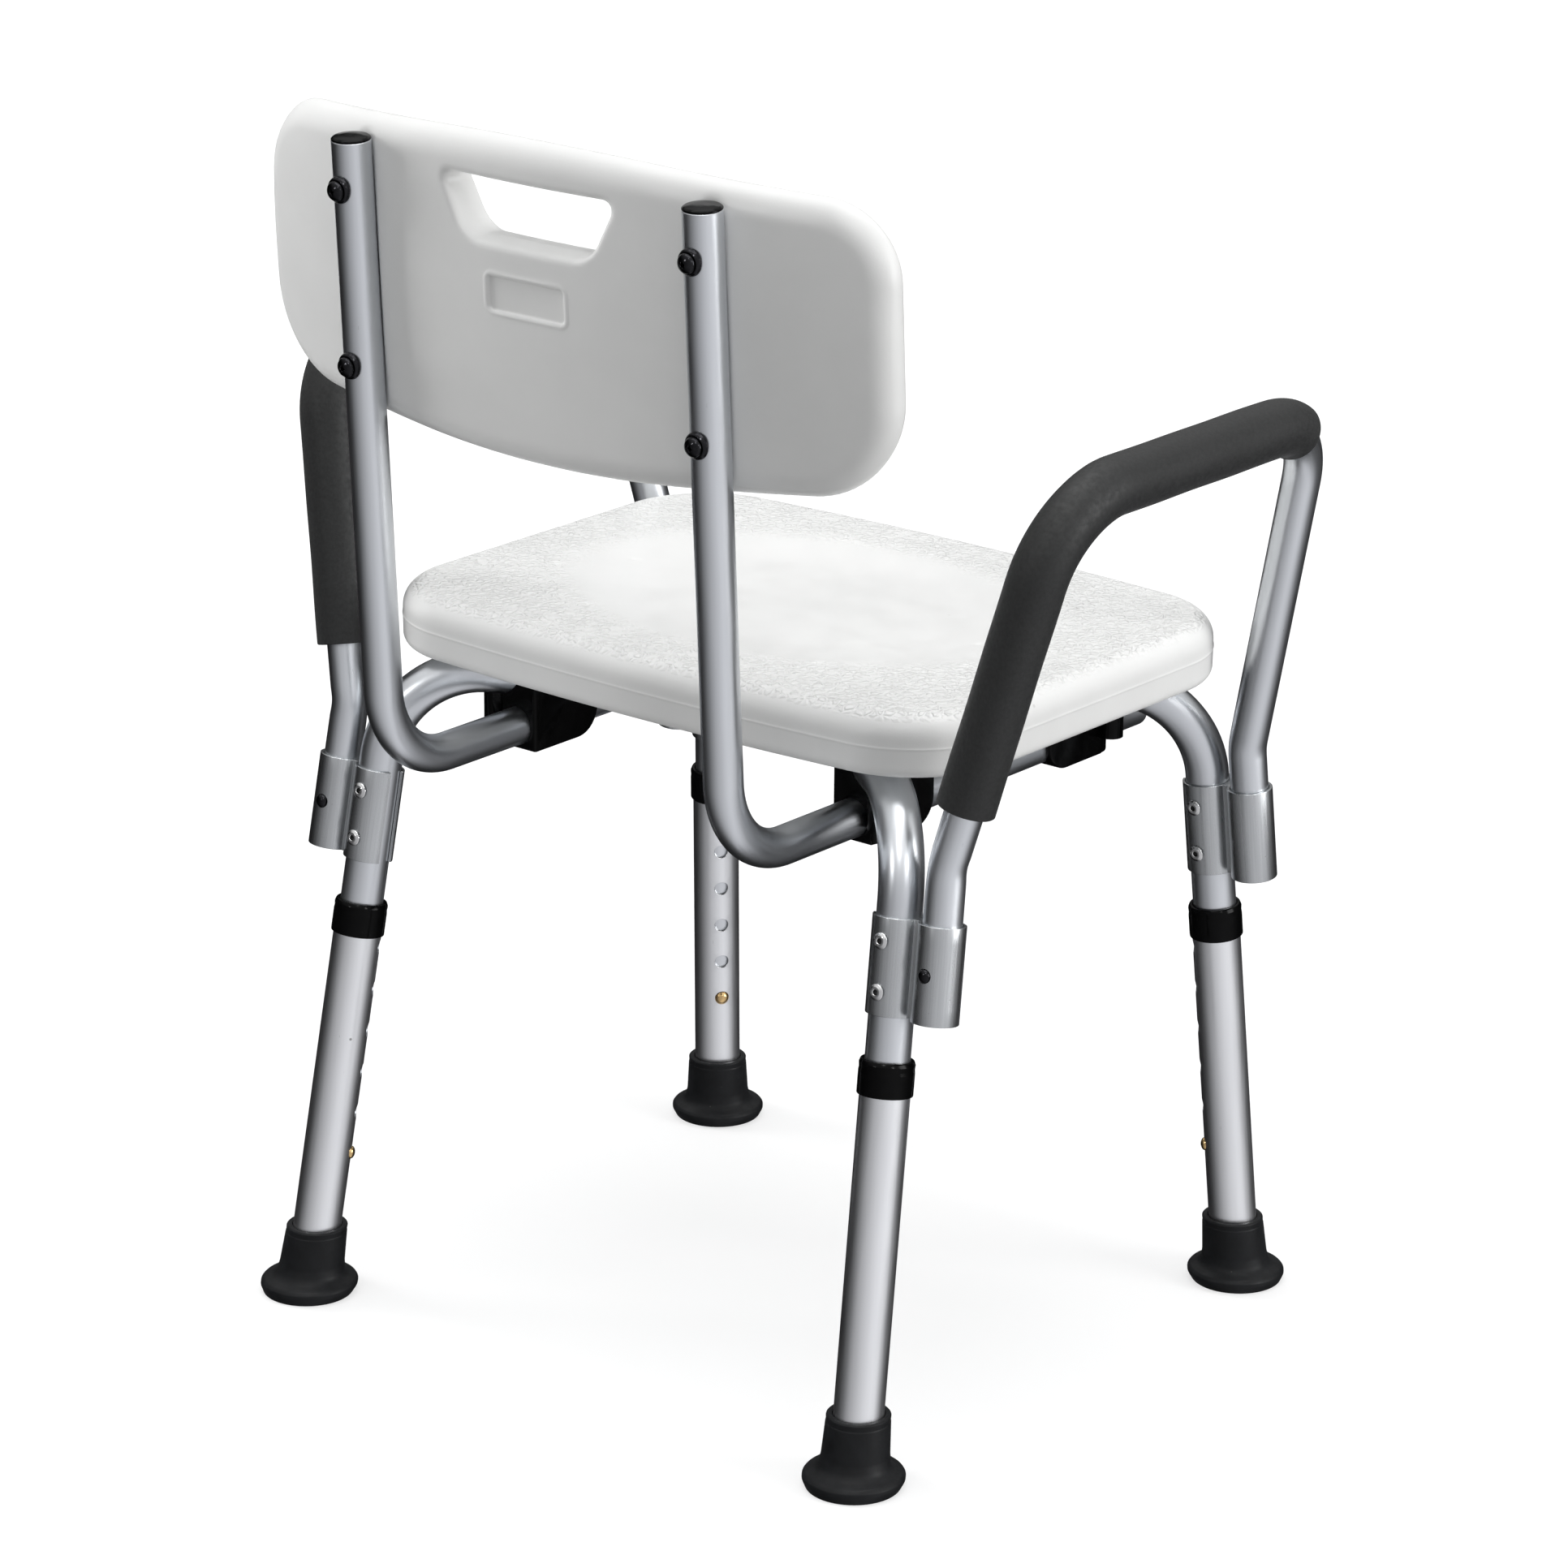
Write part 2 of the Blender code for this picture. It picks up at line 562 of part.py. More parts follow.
def build_tube_bracket(side, end):
    """A black block that hangs the back tube's runner under an arch, with a boss for its screw."""
    label, centre, along = "%s_%s" % (end, side), crossing(side, end), arch_direction(side, end)
    height = SEAT_BOTTOM - GAP - BLOCK_BOTTOM
    corners = [(-BLOCK_OUTWARD, 0), (BLOCK_INWARD, 0), (BLOCK_INWARD, height), (-BLOCK_OUTWARD, height)]
    small, tiny = 0.002, 0.0008
    outline = rounded_outline(corners, [small, BLOCK_CORNER, tiny, tiny], [2, 5, 1, 1])
    mesh = slab_mesh("tube_bracket_" + label, [outline], BLOCK_WIDTH)
    inward = Vector((0, -1 if end == "rear" else 1, 0))
    upright = Matrix((inward, Z_AXIS, inward.cross(Z_AXIS))).transposed().to_4x4()
    base = Vector((centre.x, centre.y, BLOCK_BOTTOM))
    bracket = add("tube_bracket_" + label, mesh, BLACK, Matrix.Translation(base) @ upright)
    screw = frame_screw_place(side, end)
    boss_low = Vector((screw.x, screw.y, BOSS_BOTTOM))
    boss_high = Vector((screw.x, screw.y, SEAT_BOTTOM - GAP - 0.0002))
    boolean(bracket, cylinder("bracket_boss_" + label, BOSS_RADIUS, boss_low, boss_high, 16), "UNION")
    channel = LEG_RADIUS + GAP
    leg_low = leg_point(side, end, BRACKET_Z)
    beyond = centre + along * 2 * BLOCK_WIDTH
    corners = [leg_low, leg_point(side, end, ARCH_Z), beyond]
    way = poly_curve("arch_channel_" + label, [rounded_path(corners, [ARCH_BEND], [ARCH_STEPS])])
    way.bevel_depth, way.bevel_resolution = channel, TUBE_SIDES // 2 - 2
    way.use_fill_caps = True
    boolean(bracket, add("arch_channel_" + label, mesh_of(way)))
    across = frame(centre, along, Z_AXIS)
    way_low, way_high = (0.0004, -channel - 0.0006, -0.05), (0.03, channel + 0.0006, 0.05)
    boolean(bracket, box("arch_way_" + label, way_low, way_high, across))
    runner = Vector((centre.x, centre.y, BACK_CORNER[1]))
    reach = Vector((0, 0.09, 0))
    radius = BACK_TUBE_RADIUS + GAP
    boolean(bracket, cylinder("runner_hole_" + label, radius, runner - reach, runner + reach, 16))
    seat = Vector((screw.x, screw.y, FRAME_SCREW_SEAT))
    holes = [(SCREW_HOLE, seat - Z_AXIS * 0.001, seat + Z_AXIS * 0.06)]
    holes.append((FRAME_SCREW_HEAD + 0.0005, seat - Z_AXIS * 0.03, seat))
    if end == "rear":
        holes.append((PIN_HOLE, runner - Z_AXIS * 0.005, runner - Z_AXIS * 0.03))
    for i, hole in enumerate(holes):
        boolean(bracket, joined_cutter("bracket_hole_%s_%d" % (label, i + 1), [hole]))
    build_frame_screw("frame_screw_" + label, seat)


def build_frame_screw(name, seat):
    """A pan-head screw, driven up through the bracket and the arch into the seat."""
    under, tip = -GAP, SEAT_BOTTOM + 0.011 - FRAME_SCREW_SEAT
    profile = [(0, tip), (SCREW_SHANK, tip - 0.002), (SCREW_SHANK, under), (FRAME_SCREW_HEAD, under)]
    profile += [(FRAME_SCREW_HEAD, under - 0.002), (0.7 * FRAME_SCREW_HEAD, under - 0.0035)]
    profile += [(0, under - 0.0038)]
    turned(name, profile, STEEL, Matrix.Translation(seat), steps=8)


def build_back_tube(side):
    x = SIDES[side] * BACK_X
    corner = Vector((x, *BACK_CORNER))
    top = BACK_PLACE @ Vector((x, 0, UPRIGHT_LENGTH))
    path = rounded_path([top, corner, Vector((x, RUNNER_FRONT_Y, corner.z))], [BACK_BEND], [5])
    back_tube = tube("back_tube_" + side, path, BACK_TUBE_RADIUS, BACK_TUBE_WALL, SILVER)
    holes = []
    for height in SCREW_HEIGHTS:
        ends = [BACK_PLACE @ Vector((x, y, height)) for y in (-0.02, 0.02)]
        holes.append((SCREW_HOLE, *ends))
    button = Vector((x, crossing(side, "rear").y, corner.z))
    holes.append((PIN_HOLE, button - Z_AXIS * 0.005, button - Z_AXIS * 0.02))
    boolean(back_tube, joined_cutter("back_tube_holes_" + side, holes))
    parent = axis_empty("back_button_axis_" + side, frame(button, (0, -1, 0), (0, 0, -1)))
    inner_radius = BACK_TUBE_RADIUS - BACK_TUBE_WALL
    under = corner.z - BLOCK_BOTTOM
    snap_spring("back_snap_button_" + side, BRASS, parent, under + 0.0018, inner_radius, 0.0042)
    build_end_plug(side, x)


def build_end_plug(side, x):
    top, stub = UPRIGHT_LENGTH + GAP, BACK_TUBE_RADIUS - BACK_TUBE_WALL - GAP
    profile = [(0, top + PLUG_CAP), (0.6 * BACK_TUBE_RADIUS, top + PLUG_CAP - 0.0002)]
    profile += [(BACK_TUBE_RADIUS - 0.0010, top + PLUG_CAP - 0.0007), (BACK_TUBE_RADIUS, top + 0.0009)]
    profile += [(BACK_TUBE_RADIUS, top), (stub, top), (stub, top - PLUG_STUB), (0, top - PLUG_STUB)]
    turned("end_plug_" + side, profile, BLACK, Matrix.Translation((x, 0, 0)), BACK_AXIS, steps=12)


def build_back_screw(side, number, height):
    """A washer on the tube, and a domed screw through both into the backrest."""
    label, x = "%s_%d" % (side, number), SIDES[side] * BACK_X
    to_rear = Quaternion((1, 0, 0), -pi / 2).to_matrix().to_4x4()
    place = Matrix.Translation((x, 0, height)) @ to_rear
    low, hole = BACK_TUBE_RADIUS + GAP, SCREW_SHANK + GAP
    high = low + WASHER_THICKNESS
    profile = [(hole, high), (WASHER_RADIUS - 0.0005, high), (WASHER_RADIUS, high - 0.0005)]
    profile += [(WASHER_RADIUS, low), (hole, low)]
    turned("back_washer_" + label, profile, DARK_CHROME, place, BACK_AXIS, steps=12, closed=True)
    under = high + GAP
    head = [(0.55, 0.90), (0.85, 0.60), (1.0, 0.25), (1.0, 0)]
    profile = [(0, under + SCREW_HEAD_HEIGHT)]
    profile += [(SCREW_HEAD_RADIUS * r, under + SCREW_HEAD_HEIGHT * h) for r, h in head]
    profile += [(SCREW_SHANK, under), (SCREW_SHANK, -0.022), (0, -0.024)]
    turned("back_screw_" + label, profile, DARK_CHROME, place, BACK_AXIS, steps=8)


def bend_backwards(mesh):
    """Cuts a panel that stands in XZ into strips and wraps it round the sitter."""
    edit = bmesh.new()
    edit.from_mesh(mesh)
    strips = 10
    for i in range(1, strips):
        x = REST_HALF_WIDTH * (2 * i / strips - 1)
        geometry = [*edit.verts, *edit.edges, *edit.faces]
        bmesh.ops.bisect_plane(edit, geom=geometry, dist=1e-6, plane_co=(x, 0, 0), plane_no=(1, 0, 0))
    for vert in edit.verts:
        angle = vert.co.x / REST_BEND_RADIUS
        reach = REST_BEND_RADIUS + vert.co.y
        vert.co.x = reach * sin(angle)
        vert.co.y = reach * cos(angle) - REST_BEND_RADIUS
    edit.to_mesh(mesh)
    edit.free()


def build_backrest():
    mid_z = (REST_TOP + REST_BOTTOM) / 2
    low, corner, high = REST_BOTTOM - mid_z, REST_CORNER_Z - mid_z, REST_TOP - mid_z
    shoulder, width = REST_SHOULDER_Z - mid_z, REST_HALF_WIDTH
    corners = [(-width, corner), (0, low - 0.004), (width, corner)]
    corners += [(width - 0.001, shoulder), (0, high + 0.0023), (0.001 - width, shoulder)]
    outline = rounded_outline(corners, [0.052, 1.2, 0.052, 0.042, 1.4, 0.042], [6, 2, 6, 5, 2, 5])
    mesh = slab_mesh("backrest", [outline], REST_THICKNESS, REST_EDGE, 2)
    mesh.transform(Matrix.Translation((0, 0, mid_z)) @ STAND_UP)
    bend_backwards(mesh)
    middle = REST_REAR - REST_THICKNESS / 2
    mesh.transform(Matrix.Translation((0, middle, 0)))
    backrest = add("backrest", mesh, WHITE, parent=BACK_AXIS)

    half_height = SLOT_HEIGHT / 2
    corners = [(-SLOT_BOTTOM, -half_height), (SLOT_BOTTOM, -half_height)]
    corners += [(SLOT_TOP, half_height), (-SLOT_TOP, half_height)]
    slot = slab_mesh("slot", [rounded_outline(corners, [0.010] * 4, [4] * 4)], 0.08)
    slot.transform(Matrix.Translation((0, 0, SLOT_Z)) @ STAND_UP)
    boolean(backrest, add("hand_slot_cutter", slot, parent=BACK_AXIS))

    half = (LABEL_SIZE[0] / 2, LABEL_SIZE[1] / 2)
    corners = [(-half[0], -half[1]), (half[0], -half[1]), (half[0], half[1]), (-half[0], half[1])]
    recess = slab_mesh("recess", [rounded_outline(corners, [0.002] * 4, [2] * 4)], 0.02)
    recess.transform(Matrix.Translation((0, REST_REAR + 0.01 - LABEL_DEPTH, LABEL_Z)) @ STAND_UP)
    boolean(backrest, add("recess_cutter", recess, parent=BACK_AXIS))

    grooves, pilots = [], []
    for side in SIDES.values():
        x = side * BACK_X
        grooves.append((BACK_TUBE_RADIUS + GAP, (x, 0, 0.15), (x, 0, 0.42)))
        pilots += [(SCREW_HOLE, (x, 0, height), (x, -0.0245, height)) for height in SCREW_HEIGHTS]
    boolean(backrest, joined_cutter("upright_grooves", grooves, BACK_AXIS, TUBE_SIDES))
    boolean(backrest, joined_cutter("screw_pilots", pilots, BACK_AXIS))


def build_seat():
    half, rear, front = SEAT_HALF_WIDTH, SEAT_REAR_Y, SEAT_FRONT_Y
    corners = [(-half, front + SEAT_BOW), (0, front - SEAT_BOW / 2), (half, front + SEAT_BOW)]
    corners += [(half, rear - SEAT_BOW), (0, rear + SEAT_BOW / 2), (-half, rear - SEAT_BOW)]
    radii = [SEAT_CORNER, 1.6, SEAT_CORNER, SEAT_CORNER, 1.6, SEAT_CORNER]
    outline = rounded_outline(corners, radii, [7, 2, 7, 7, 2, 7])
    mesh = slab_mesh("seat", [outline], SEAT_TOP - SEAT_BOTTOM, SEAT_EDGE, 2)
    mesh.transform(Matrix.Translation((0, 0, (SEAT_TOP + SEAT_BOTTOM) / 2)))
    seat = add("seat", mesh, WHITE)
    # A shallow dish with a flat floor.
    floor = SEAT_TOP - DISH_DEPTH
    profile = [(0, SEAT_TOP + 0.01), (1.0, SEAT_TOP + 0.01), (1.0, SEAT_TOP)]
    profile += [(0.86, SEAT_TOP - 0.35 * DISH_DEPTH), (0.72, SEAT_TOP - 0.8 * DISH_DEPTH)]
    profile += [(0.58, floor), (0, floor)]
    dish = turned("seat_dish", profile, None, steps=32)
    middle = (rear + front) / 2
    dish.matrix_basis = Matrix.Translation((0, middle, 0)) @ Matrix.Diagonal((*DISH_HALF, 1, 1))
    boolean(seat, dish)
    places = [frame_screw_place(*key) for key in CORNERS]
    low, high = SEAT_BOTTOM - 0.005, SEAT_BOTTOM + 0.0115
    pilots = [(SCREW_HOLE, (place.x, place.y, low), (place.x, place.y, high)) for place in places]
    boolean(seat, joined_cutter("seat_pilots", pilots))


build_seat()
build_backrest()
for side in SIDES:
    build_back_tube(side)
    build_arm(side)
    for number, height in enumerate(SCREW_HEIGHTS, start=1):
        build_back_screw(side, number, height)
build_leg_arch("leg_arch_left", "left", dipped=False)
build_leg_arch("leg_arch_right", "right", dipped=True)
for side, end in CORNERS:
    build_leg_extension(side, end)
    build_foot(side, end)
    build_arm_bracket(side, end)
    build_tube_bracket(side, end)
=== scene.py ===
"""The shower chair's visual model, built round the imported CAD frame.

Metres, +Z up. The sitter faces -Y, so +X is the sitter's left. Dimensions repeat part.py's.
"""

from math import cos, pi, radians, sin, tan

import bmesh
import bpy
import numpy as np
from mathutils import Matrix, Quaternion, Vector


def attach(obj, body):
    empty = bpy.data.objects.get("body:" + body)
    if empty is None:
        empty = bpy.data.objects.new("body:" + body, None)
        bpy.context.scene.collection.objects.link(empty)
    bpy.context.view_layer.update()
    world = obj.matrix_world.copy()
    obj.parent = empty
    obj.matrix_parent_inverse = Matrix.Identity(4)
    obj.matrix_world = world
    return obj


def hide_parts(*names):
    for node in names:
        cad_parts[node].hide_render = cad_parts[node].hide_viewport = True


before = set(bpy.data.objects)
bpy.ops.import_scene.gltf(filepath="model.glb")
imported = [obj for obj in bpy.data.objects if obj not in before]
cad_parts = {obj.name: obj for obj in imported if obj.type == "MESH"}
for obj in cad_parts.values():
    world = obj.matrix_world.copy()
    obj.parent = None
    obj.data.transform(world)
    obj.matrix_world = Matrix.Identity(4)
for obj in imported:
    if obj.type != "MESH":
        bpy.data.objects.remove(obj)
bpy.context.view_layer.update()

SIDES = {"left": 1, "right": -1}
ENDS = ("rear", "front")
CORNERS = [(side, end) for end in ENDS for side in SIDES]
Z = Vector((0, 0, 1))
GAP = 0.0003

# Legs and arches.
LEG_FOOT = {"rear": (0.208, 0.1759), "front": (0.203, -0.1981)}
LEG_LEAN = {"rear": (0.047, 0.167), "front": (0.050, -0.075)}
LEG_RADIUS, LEG_WALL, LEG_START = 0.0127, 0.0014, 0.062
ARCH_Z, ARCH_BEND = 0.3762, 0.060
DIP_OUTER, DIP_INNER, DIP_DEPTH, DIP_BEND = 0.100, 0.044, 0.0262, 0.045
EXTENSION_RADIUS, EXTENSION_WALL = 0.0142, 0.0012
EXTENSION_START, EXTENSION_TOP = 0.011, 0.240
HOLE_START, HOLE_PITCH, HOLES, HOLE_RADIUS = 0.088, 0.0254, 6, 0.0042
COLLAR_DEPTH = 0.018
LEG_BUTTON_PROUD, LEG_BUTTON_TRAVEL = 0.0022, 0.0034

# Arms and their brackets.
BRACKET_Z, BRACKET_LENGTH, BRACKET_EDGE, SOCKET_OFFSET = 0.291, 0.055, 0.00035, 0.0298
CLAMP_WALL, SOCKET_WALL, CLAMP_SLIT, HALF_WEB = 0.0016, 0.0020, radians(20), 0.0045
RIVET_SPACING, RIVET_HEAD, RIVET_HEIGHT, RIVET_BORE = 0.0285, 0.0048, 0.0016, 0.00145
ARM_RADIUS, ARM_WALL = 0.0111, 0.0012
ARM_BENDS = {"rear": (0.2689, 0.0864), "front": (0.2668, -0.1521)}
ARM_TOP_Z, ARM_BOTTOM_Z = 0.5565, 0.2665
ARM_KNEE_Z = {"rear": 0.351, "front": 0.345}
ARM_BEND_RADIUS, ARM_KNEE_RADIUS = {"rear": 0.056, "front": 0.046}, 0.040
KNEE_DENT_REACH, KNEE_DENT_DEPTH = 0.009, 0.0005
GRIP_RADIUS, GRIP_START_Z = 0.01675, 0.384
SIDE_BUTTON_TRAVEL, ARM_BUTTON_PROUD, BACK_BUTTON_PROUD = 0.0042, 0.0021, 0.0018

# Back.
BACK_X, BACK_CORNER, BACK_LEAN = 0.125, (0.1885, 0.347), 0.060
BACK_TUBE_RADIUS, BACK_TUBE_WALL, BACK_BEND = 0.0111, 0.0012, 0.052
UPRIGHT_LENGTH, RUNNER_FRONT_Y = 0.3695, -0.1838
SCREW_HEIGHTS = (0.2434, 0.3436)
REST_HALF_WIDTH, REST_TOP, REST_TOP_SLOPE, REST_BOTTOM = 0.2245, 0.38515, 0.0579, 0.2027
REST_THICKNESS, REST_BEND_RADIUS, REST_REAR = 0.026, 0.750, 0.003
REST_MIDDLE_Y, REST_MIDDLE_Z = REST_REAR - REST_THICKNESS / 2, (REST_TOP + REST_BOTTOM) / 2
# The top and bottom edges are arched in the middle and straight beyond.
REST_TOP_ARCH, REST_BOTTOM_ARCH, REST_BOTTOM_SLOPE = (0.081, 2.8), (0.0935, 2.4), 0.0779
REST_TOP_CORNER, REST_BOTTOM_CORNER, REST_EDGE = 0.042, 0.052, 0.0125
# The rear face falls back towards its edges: over its height, and more at the upper corners.
REST_CROWN, REST_CORNER_CROWN, REST_SOFT = 0.0034, 0.0042, 0.80
SLOT_Z, SLOT_HEIGHT, SLOT_TOP, SLOT_BOTTOM = 0.345, 0.034, 0.062, 0.044
SLOT_CORNER, SLOT_LIP, SLOT_DRAFT, SLOT_WAIST = 0.009, 0.0042, 0.14, 0.0065
LABEL_Z, LABEL_SIZE, LABEL_DEPTH, LABEL_CORNER = 0.300, (0.054, 0.019), 0.002, 0.0025

# Seat.
SEAT_HALF_WIDTH, SEAT_MIDDLE_Y, SEAT_HALF_DEPTH = 0.213, -0.0318, 0.1585
SEAT_BOTTOM, SEAT_TOP, SEAT_PARTING, SEAT_CORNER = 0.3895, 0.425, 0.407, 0.060
SEAT_BOW, SEAT_DRAFT, SEAT_TOP_EDGE, SEAT_LOW_EDGE = 0.26, 0.02, 0.0135, 0.006
DISH_DEPTH, DISH_HALF, DISH_RISE = 0.004, (0.165, 0.115), (0.55, 1.06)
DIMPLE_DEPTH, DIMPLE_RADIUS = 0.0009, 0.0026
SEAT_DIMPLES = [(-0.128, -0.030), (-0.152, 0.012), (-0.086, 0.062)]
SEAT_DIMPLES += [(-x, y) for x, y in SEAT_DIMPLES]
# Hollows in the underside, and the shallow line where the two halves of the mould met.
WELL_PITCH, WELL_DEPTH, WELL_REACH, WELL_MARGIN = (0.070, 0.064), 0.0028, (0.009, 0.015), 0.04
PARTING_DEPTH, PARTING_WIDTH = 0.00036, 0.0006

# Tube brackets.
BLOCK_WIDTH, BLOCK_OUTWARD, BLOCK_INWARD = 0.0285, 0.0155, 0.0405
BLOCK_BOTTOM, BLOCK_CORNER, BLOCK_SMALL_CORNER, BLOCK_EDGE = 0.3330, 0.017, 0.0020, 0.0015
BOSS_RADIUS, BOSS_BOTTOM = 0.0073, 0.3440
FRAME_SCREW_REACH, FRAME_SCREW_SEAT = 0.022, 0.3500
SCREW_HEAD_BORE, SCREW_SHANK_BORE = 0.0052, 0.0028

# Camera and studio.
CAMERA_AT, CAMERA_AZIMUTH, CAMERA_ELEVATION = (-2.059, 2.511, 1.424), radians(219.2), radians(18.8)
CAMERA_ROLL, CAMERA_LENS, SENSOR = radians(0.48), 135.93, 36.0
# The studio's ring of panels as metal sees it: (degrees round from the camera, brightness).
RING = [(-180, 0.01), (-125, 0.01), (-98, 0.03), (-74, 0.16), (-48, 0.38), (-18, 0.60), (16, 0.80)]
RING += [(42, 0.92), (64, 0.72), (84, 0.28), (104, 0.06), (130, 0.01), (180, 0.01)]
SKY, FLOOR_TONE, FLOOR_GLOW = (0.17, 0.64), 0.42, (0.62, 0.92)


# Placements and paths.


def placement(origin, z_axis, x_hint):
    z_axis = Vector(z_axis).normalized()
    x_axis = Vector(x_hint) - z_axis * Vector(x_hint).dot(z_axis)
    x_axis.normalize()
    rotation = Matrix((x_axis, z_axis.cross(x_axis), z_axis)).transposed().to_4x4()
    return Matrix.Translation(origin) @ rotation


def turn(axis, angle):
    return Quaternion(axis, angle).to_matrix().to_4x4()


def arc_corner(before, corner, after, radius, steps):
    back = (before - corner).normalized()
    onward = (after - corner).normalized()
    half = back.angle(onward) / 2
    centre = corner + (back + onward).normalized() * radius / sin(half)
    start = corner + back * radius / tan(half) - centre
    turn_axis = onward.cross(back).normalized()
    sweep = pi - 2 * half
    return [centre + Quaternion(turn_axis, sweep * i / steps) @ start for i in range(steps + 1)]


def bent_path(corners, radii, step=radians(3.5), support=0.004):
    """A path through corners with fine arcs, and a point just before and after each arc."""
    points = [corners[0]]
    for i, radius in enumerate(radii, start=1):
        before, corner, after = corners[i - 1], corners[i], corners[i + 1]
        bend = pi - (before - corner).angle(after - corner)
        arc = arc_corner(before, corner, after, radius, max(4, round(bend / step)))
        points.append(arc[0] + (before - corner).normalized() * support)
        points += arc
        points.append(arc[-1] + (after - corner).normalized() * support)
    return points + [corners[-1]]


def rounded_profile(points, radius=0.0008, steps=3):
    """A (radius, height) profile with its corners rounded; a point may give its own radius."""
    flat = [Vector((p[0], p[1], 0)) for p in points]
    own = [p[2] if len(p) > 2 else radius for p in points]
    out = [flat[0]]
    for i in range(1, len(flat) - 1):
        reach = 0.45 * min((flat[i] - flat[i - 1]).length, (flat[i + 1] - flat[i]).length)
        half = (flat[i - 1] - flat[i]).angle(flat[i + 1] - flat[i]) / 2
        fits = min(own[i], reach * tan(half))
        if fits < 1e-5 or abs(half - pi / 2) < 0.02:
            out.append(flat[i])
        else:
            out += arc_corner(flat[i - 1], flat[i], flat[i + 1], fits, steps)
    out.append(flat[-1])
    return [(p.x, p.y) for p in out]


def leg_point(side, end, height):
    foot, lean = LEG_FOOT[end], LEG_LEAN[end]
    return Vector((SIDES[side] * (foot[0] - lean[0] * height), foot[1] - lean[1] * height, height))


def opposite(side, end):
    return ("right" if side == "left" else "left", "front" if end == "rear" else "rear")


def leg_direction(side, end):
    return (leg_point(side, end, 1) - leg_point(side, end, 0)).normalized()


def arch_direction(side, end):
    away = leg_point(*opposite(side, end), ARCH_Z) - leg_point(side, end, ARCH_Z)
    return away.normalized()


def leg_frame(side, end):
    return placement(leg_point(side, end, 0), leg_direction(side, end), arch_direction(side, end))


def bracket_frame(side, end):
    place = leg_point(side, end, BRACKET_Z)
    return placement(place, leg_direction(side, end), (SIDES[side], 0, 0))


def crossing(side, end):
    top, along = leg_point(side, end, ARCH_Z), arch_direction(side, end)
    return top + along * (top.x - SIDES[side] * BACK_X) / -along.x


BACK_PLACE = placement((0, *BACK_CORNER), (0, BACK_LEAN, 1), (1, 0, 0))


# Meshes.


def mesh_from(name, verts, faces, uvs=None, sharp=32):
    mesh = bpy.data.meshes.new(name)
    mesh.from_pydata([tuple(v) for v in verts], [], faces)
    if uvs is not None:
        layer = mesh.uv_layers.new(name="UVMap")
        layer.data.foreach_set("uv", np.asarray(uvs, np.float32).ravel())
    mesh.shade_smooth()
    if sharp:
        mesh.set_sharp_from_angle(angle=radians(sharp))
    return mesh


def linked(name, data):
    obj = bpy.data.objects.new(name, data)
    bpy.context.scene.collection.objects.link(obj)
    return obj


def piece(name, mesh, materials, body, replaced, matrix=None):
    """A finished piece: it rides on its body and stands for the CAD node it replaces."""
    materials = materials if isinstance(materials, list) else [materials]
    obj = linked(name, mesh)
    if matrix is not None:
        obj.matrix_world = matrix
    for material in materials:
        mesh.materials.append(material)
    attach(obj, body)
    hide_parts(replaced)
    return obj


def ring_mesh(name, rings, lengths, closed=False):
    """A skin over rings of equally many points. A ring of one point closes it to a tip."""
    verts, starts = [], []
    for ring in rings:
        starts.append(len(verts))
        verts += list(ring)
    sides = max(len(ring) for ring in rings)
    # A ring's radius is its box's diagonal over about 2.8.
    radius = np.linalg.norm(np.ptp(np.array(rings[len(rings) // 2]), axis=0)) / 2.8
    around = 2 * pi * max(1e-4, radius)
    faces, uvs = [], []
    for i in range(len(rings) if closed else len(rings) - 1):
        k = (i + 1) % len(rings)
        a, b = starts[i], starts[k]
        v0, v1 = lengths[i], lengths[i + 1] if i + 1 < len(lengths) else lengths[i]
        for j in range(sides):
            n = (j + 1) % sides
            u0, u1 = around * j / sides, around * (j + 1) / sides
            if len(rings[i]) == 1:
                faces.append((a, b + n, b + j))
                uvs += [(u0, v0), (u1, v1), (u0, v1)]
            elif len(rings[k]) == 1:
                faces.append((a + j, a + n, b))
                uvs += [(u0, v0), (u1, v0), (u0, v1)]
            else:
                faces.append((a + j, a + n, b + n, b + j))
                uvs += [(u0, v0), (u1, v0), (u1, v1), (u0, v1)]
    return mesh_from(name, verts, faces, uvs)


def turned(name, profile, sides=48, closed=False):
    """A (radius, height) profile turned about Z. It runs top to bottom down its outer side."""
    angles = [2 * pi * j / sides for j in range(sides)]
    rings, lengths, run = [], [], 0.0
    for i, (radius, height) in enumerate(profile):
        if i:
            run += ((radius - profile[i - 1][0]) ** 2 + (height - profile[i - 1][1]) ** 2) ** 0.5
        lengths.append(run)
        if radius < 1e-7:
            rings.append([(0, 0, height)])
        else:
            rings.append([(radius * cos(-a), radius * sin(-a), height) for a in angles])
    return ring_mesh(name, rings, [*lengths, run], closed)


def path_frames(path):
    """(point, side axis, up axis, length so far) at each point of a path, without twist."""
    tangents = []
    for i, point in enumerate(path):
        before = (point - path[i - 1]).normalized() if i else None
        after = (path[i + 1] - point).normalized() if i + 1 < len(path) else None
        tangents.append(((before or after) + (after or before)).normalized())
    normal = tangents[0].orthogonal().normalized()
    out, run = [], 0.0
    for i, point in enumerate(path):
        if i:
            normal = tangents[i - 1].rotation_difference(tangents[i]) @ normal
            run += (point - path[i - 1]).length
        normal = (normal - tangents[i] * normal.dot(tangents[i])).normalized()
        out.append((point, normal, tangents[i].cross(normal), run))
    return out


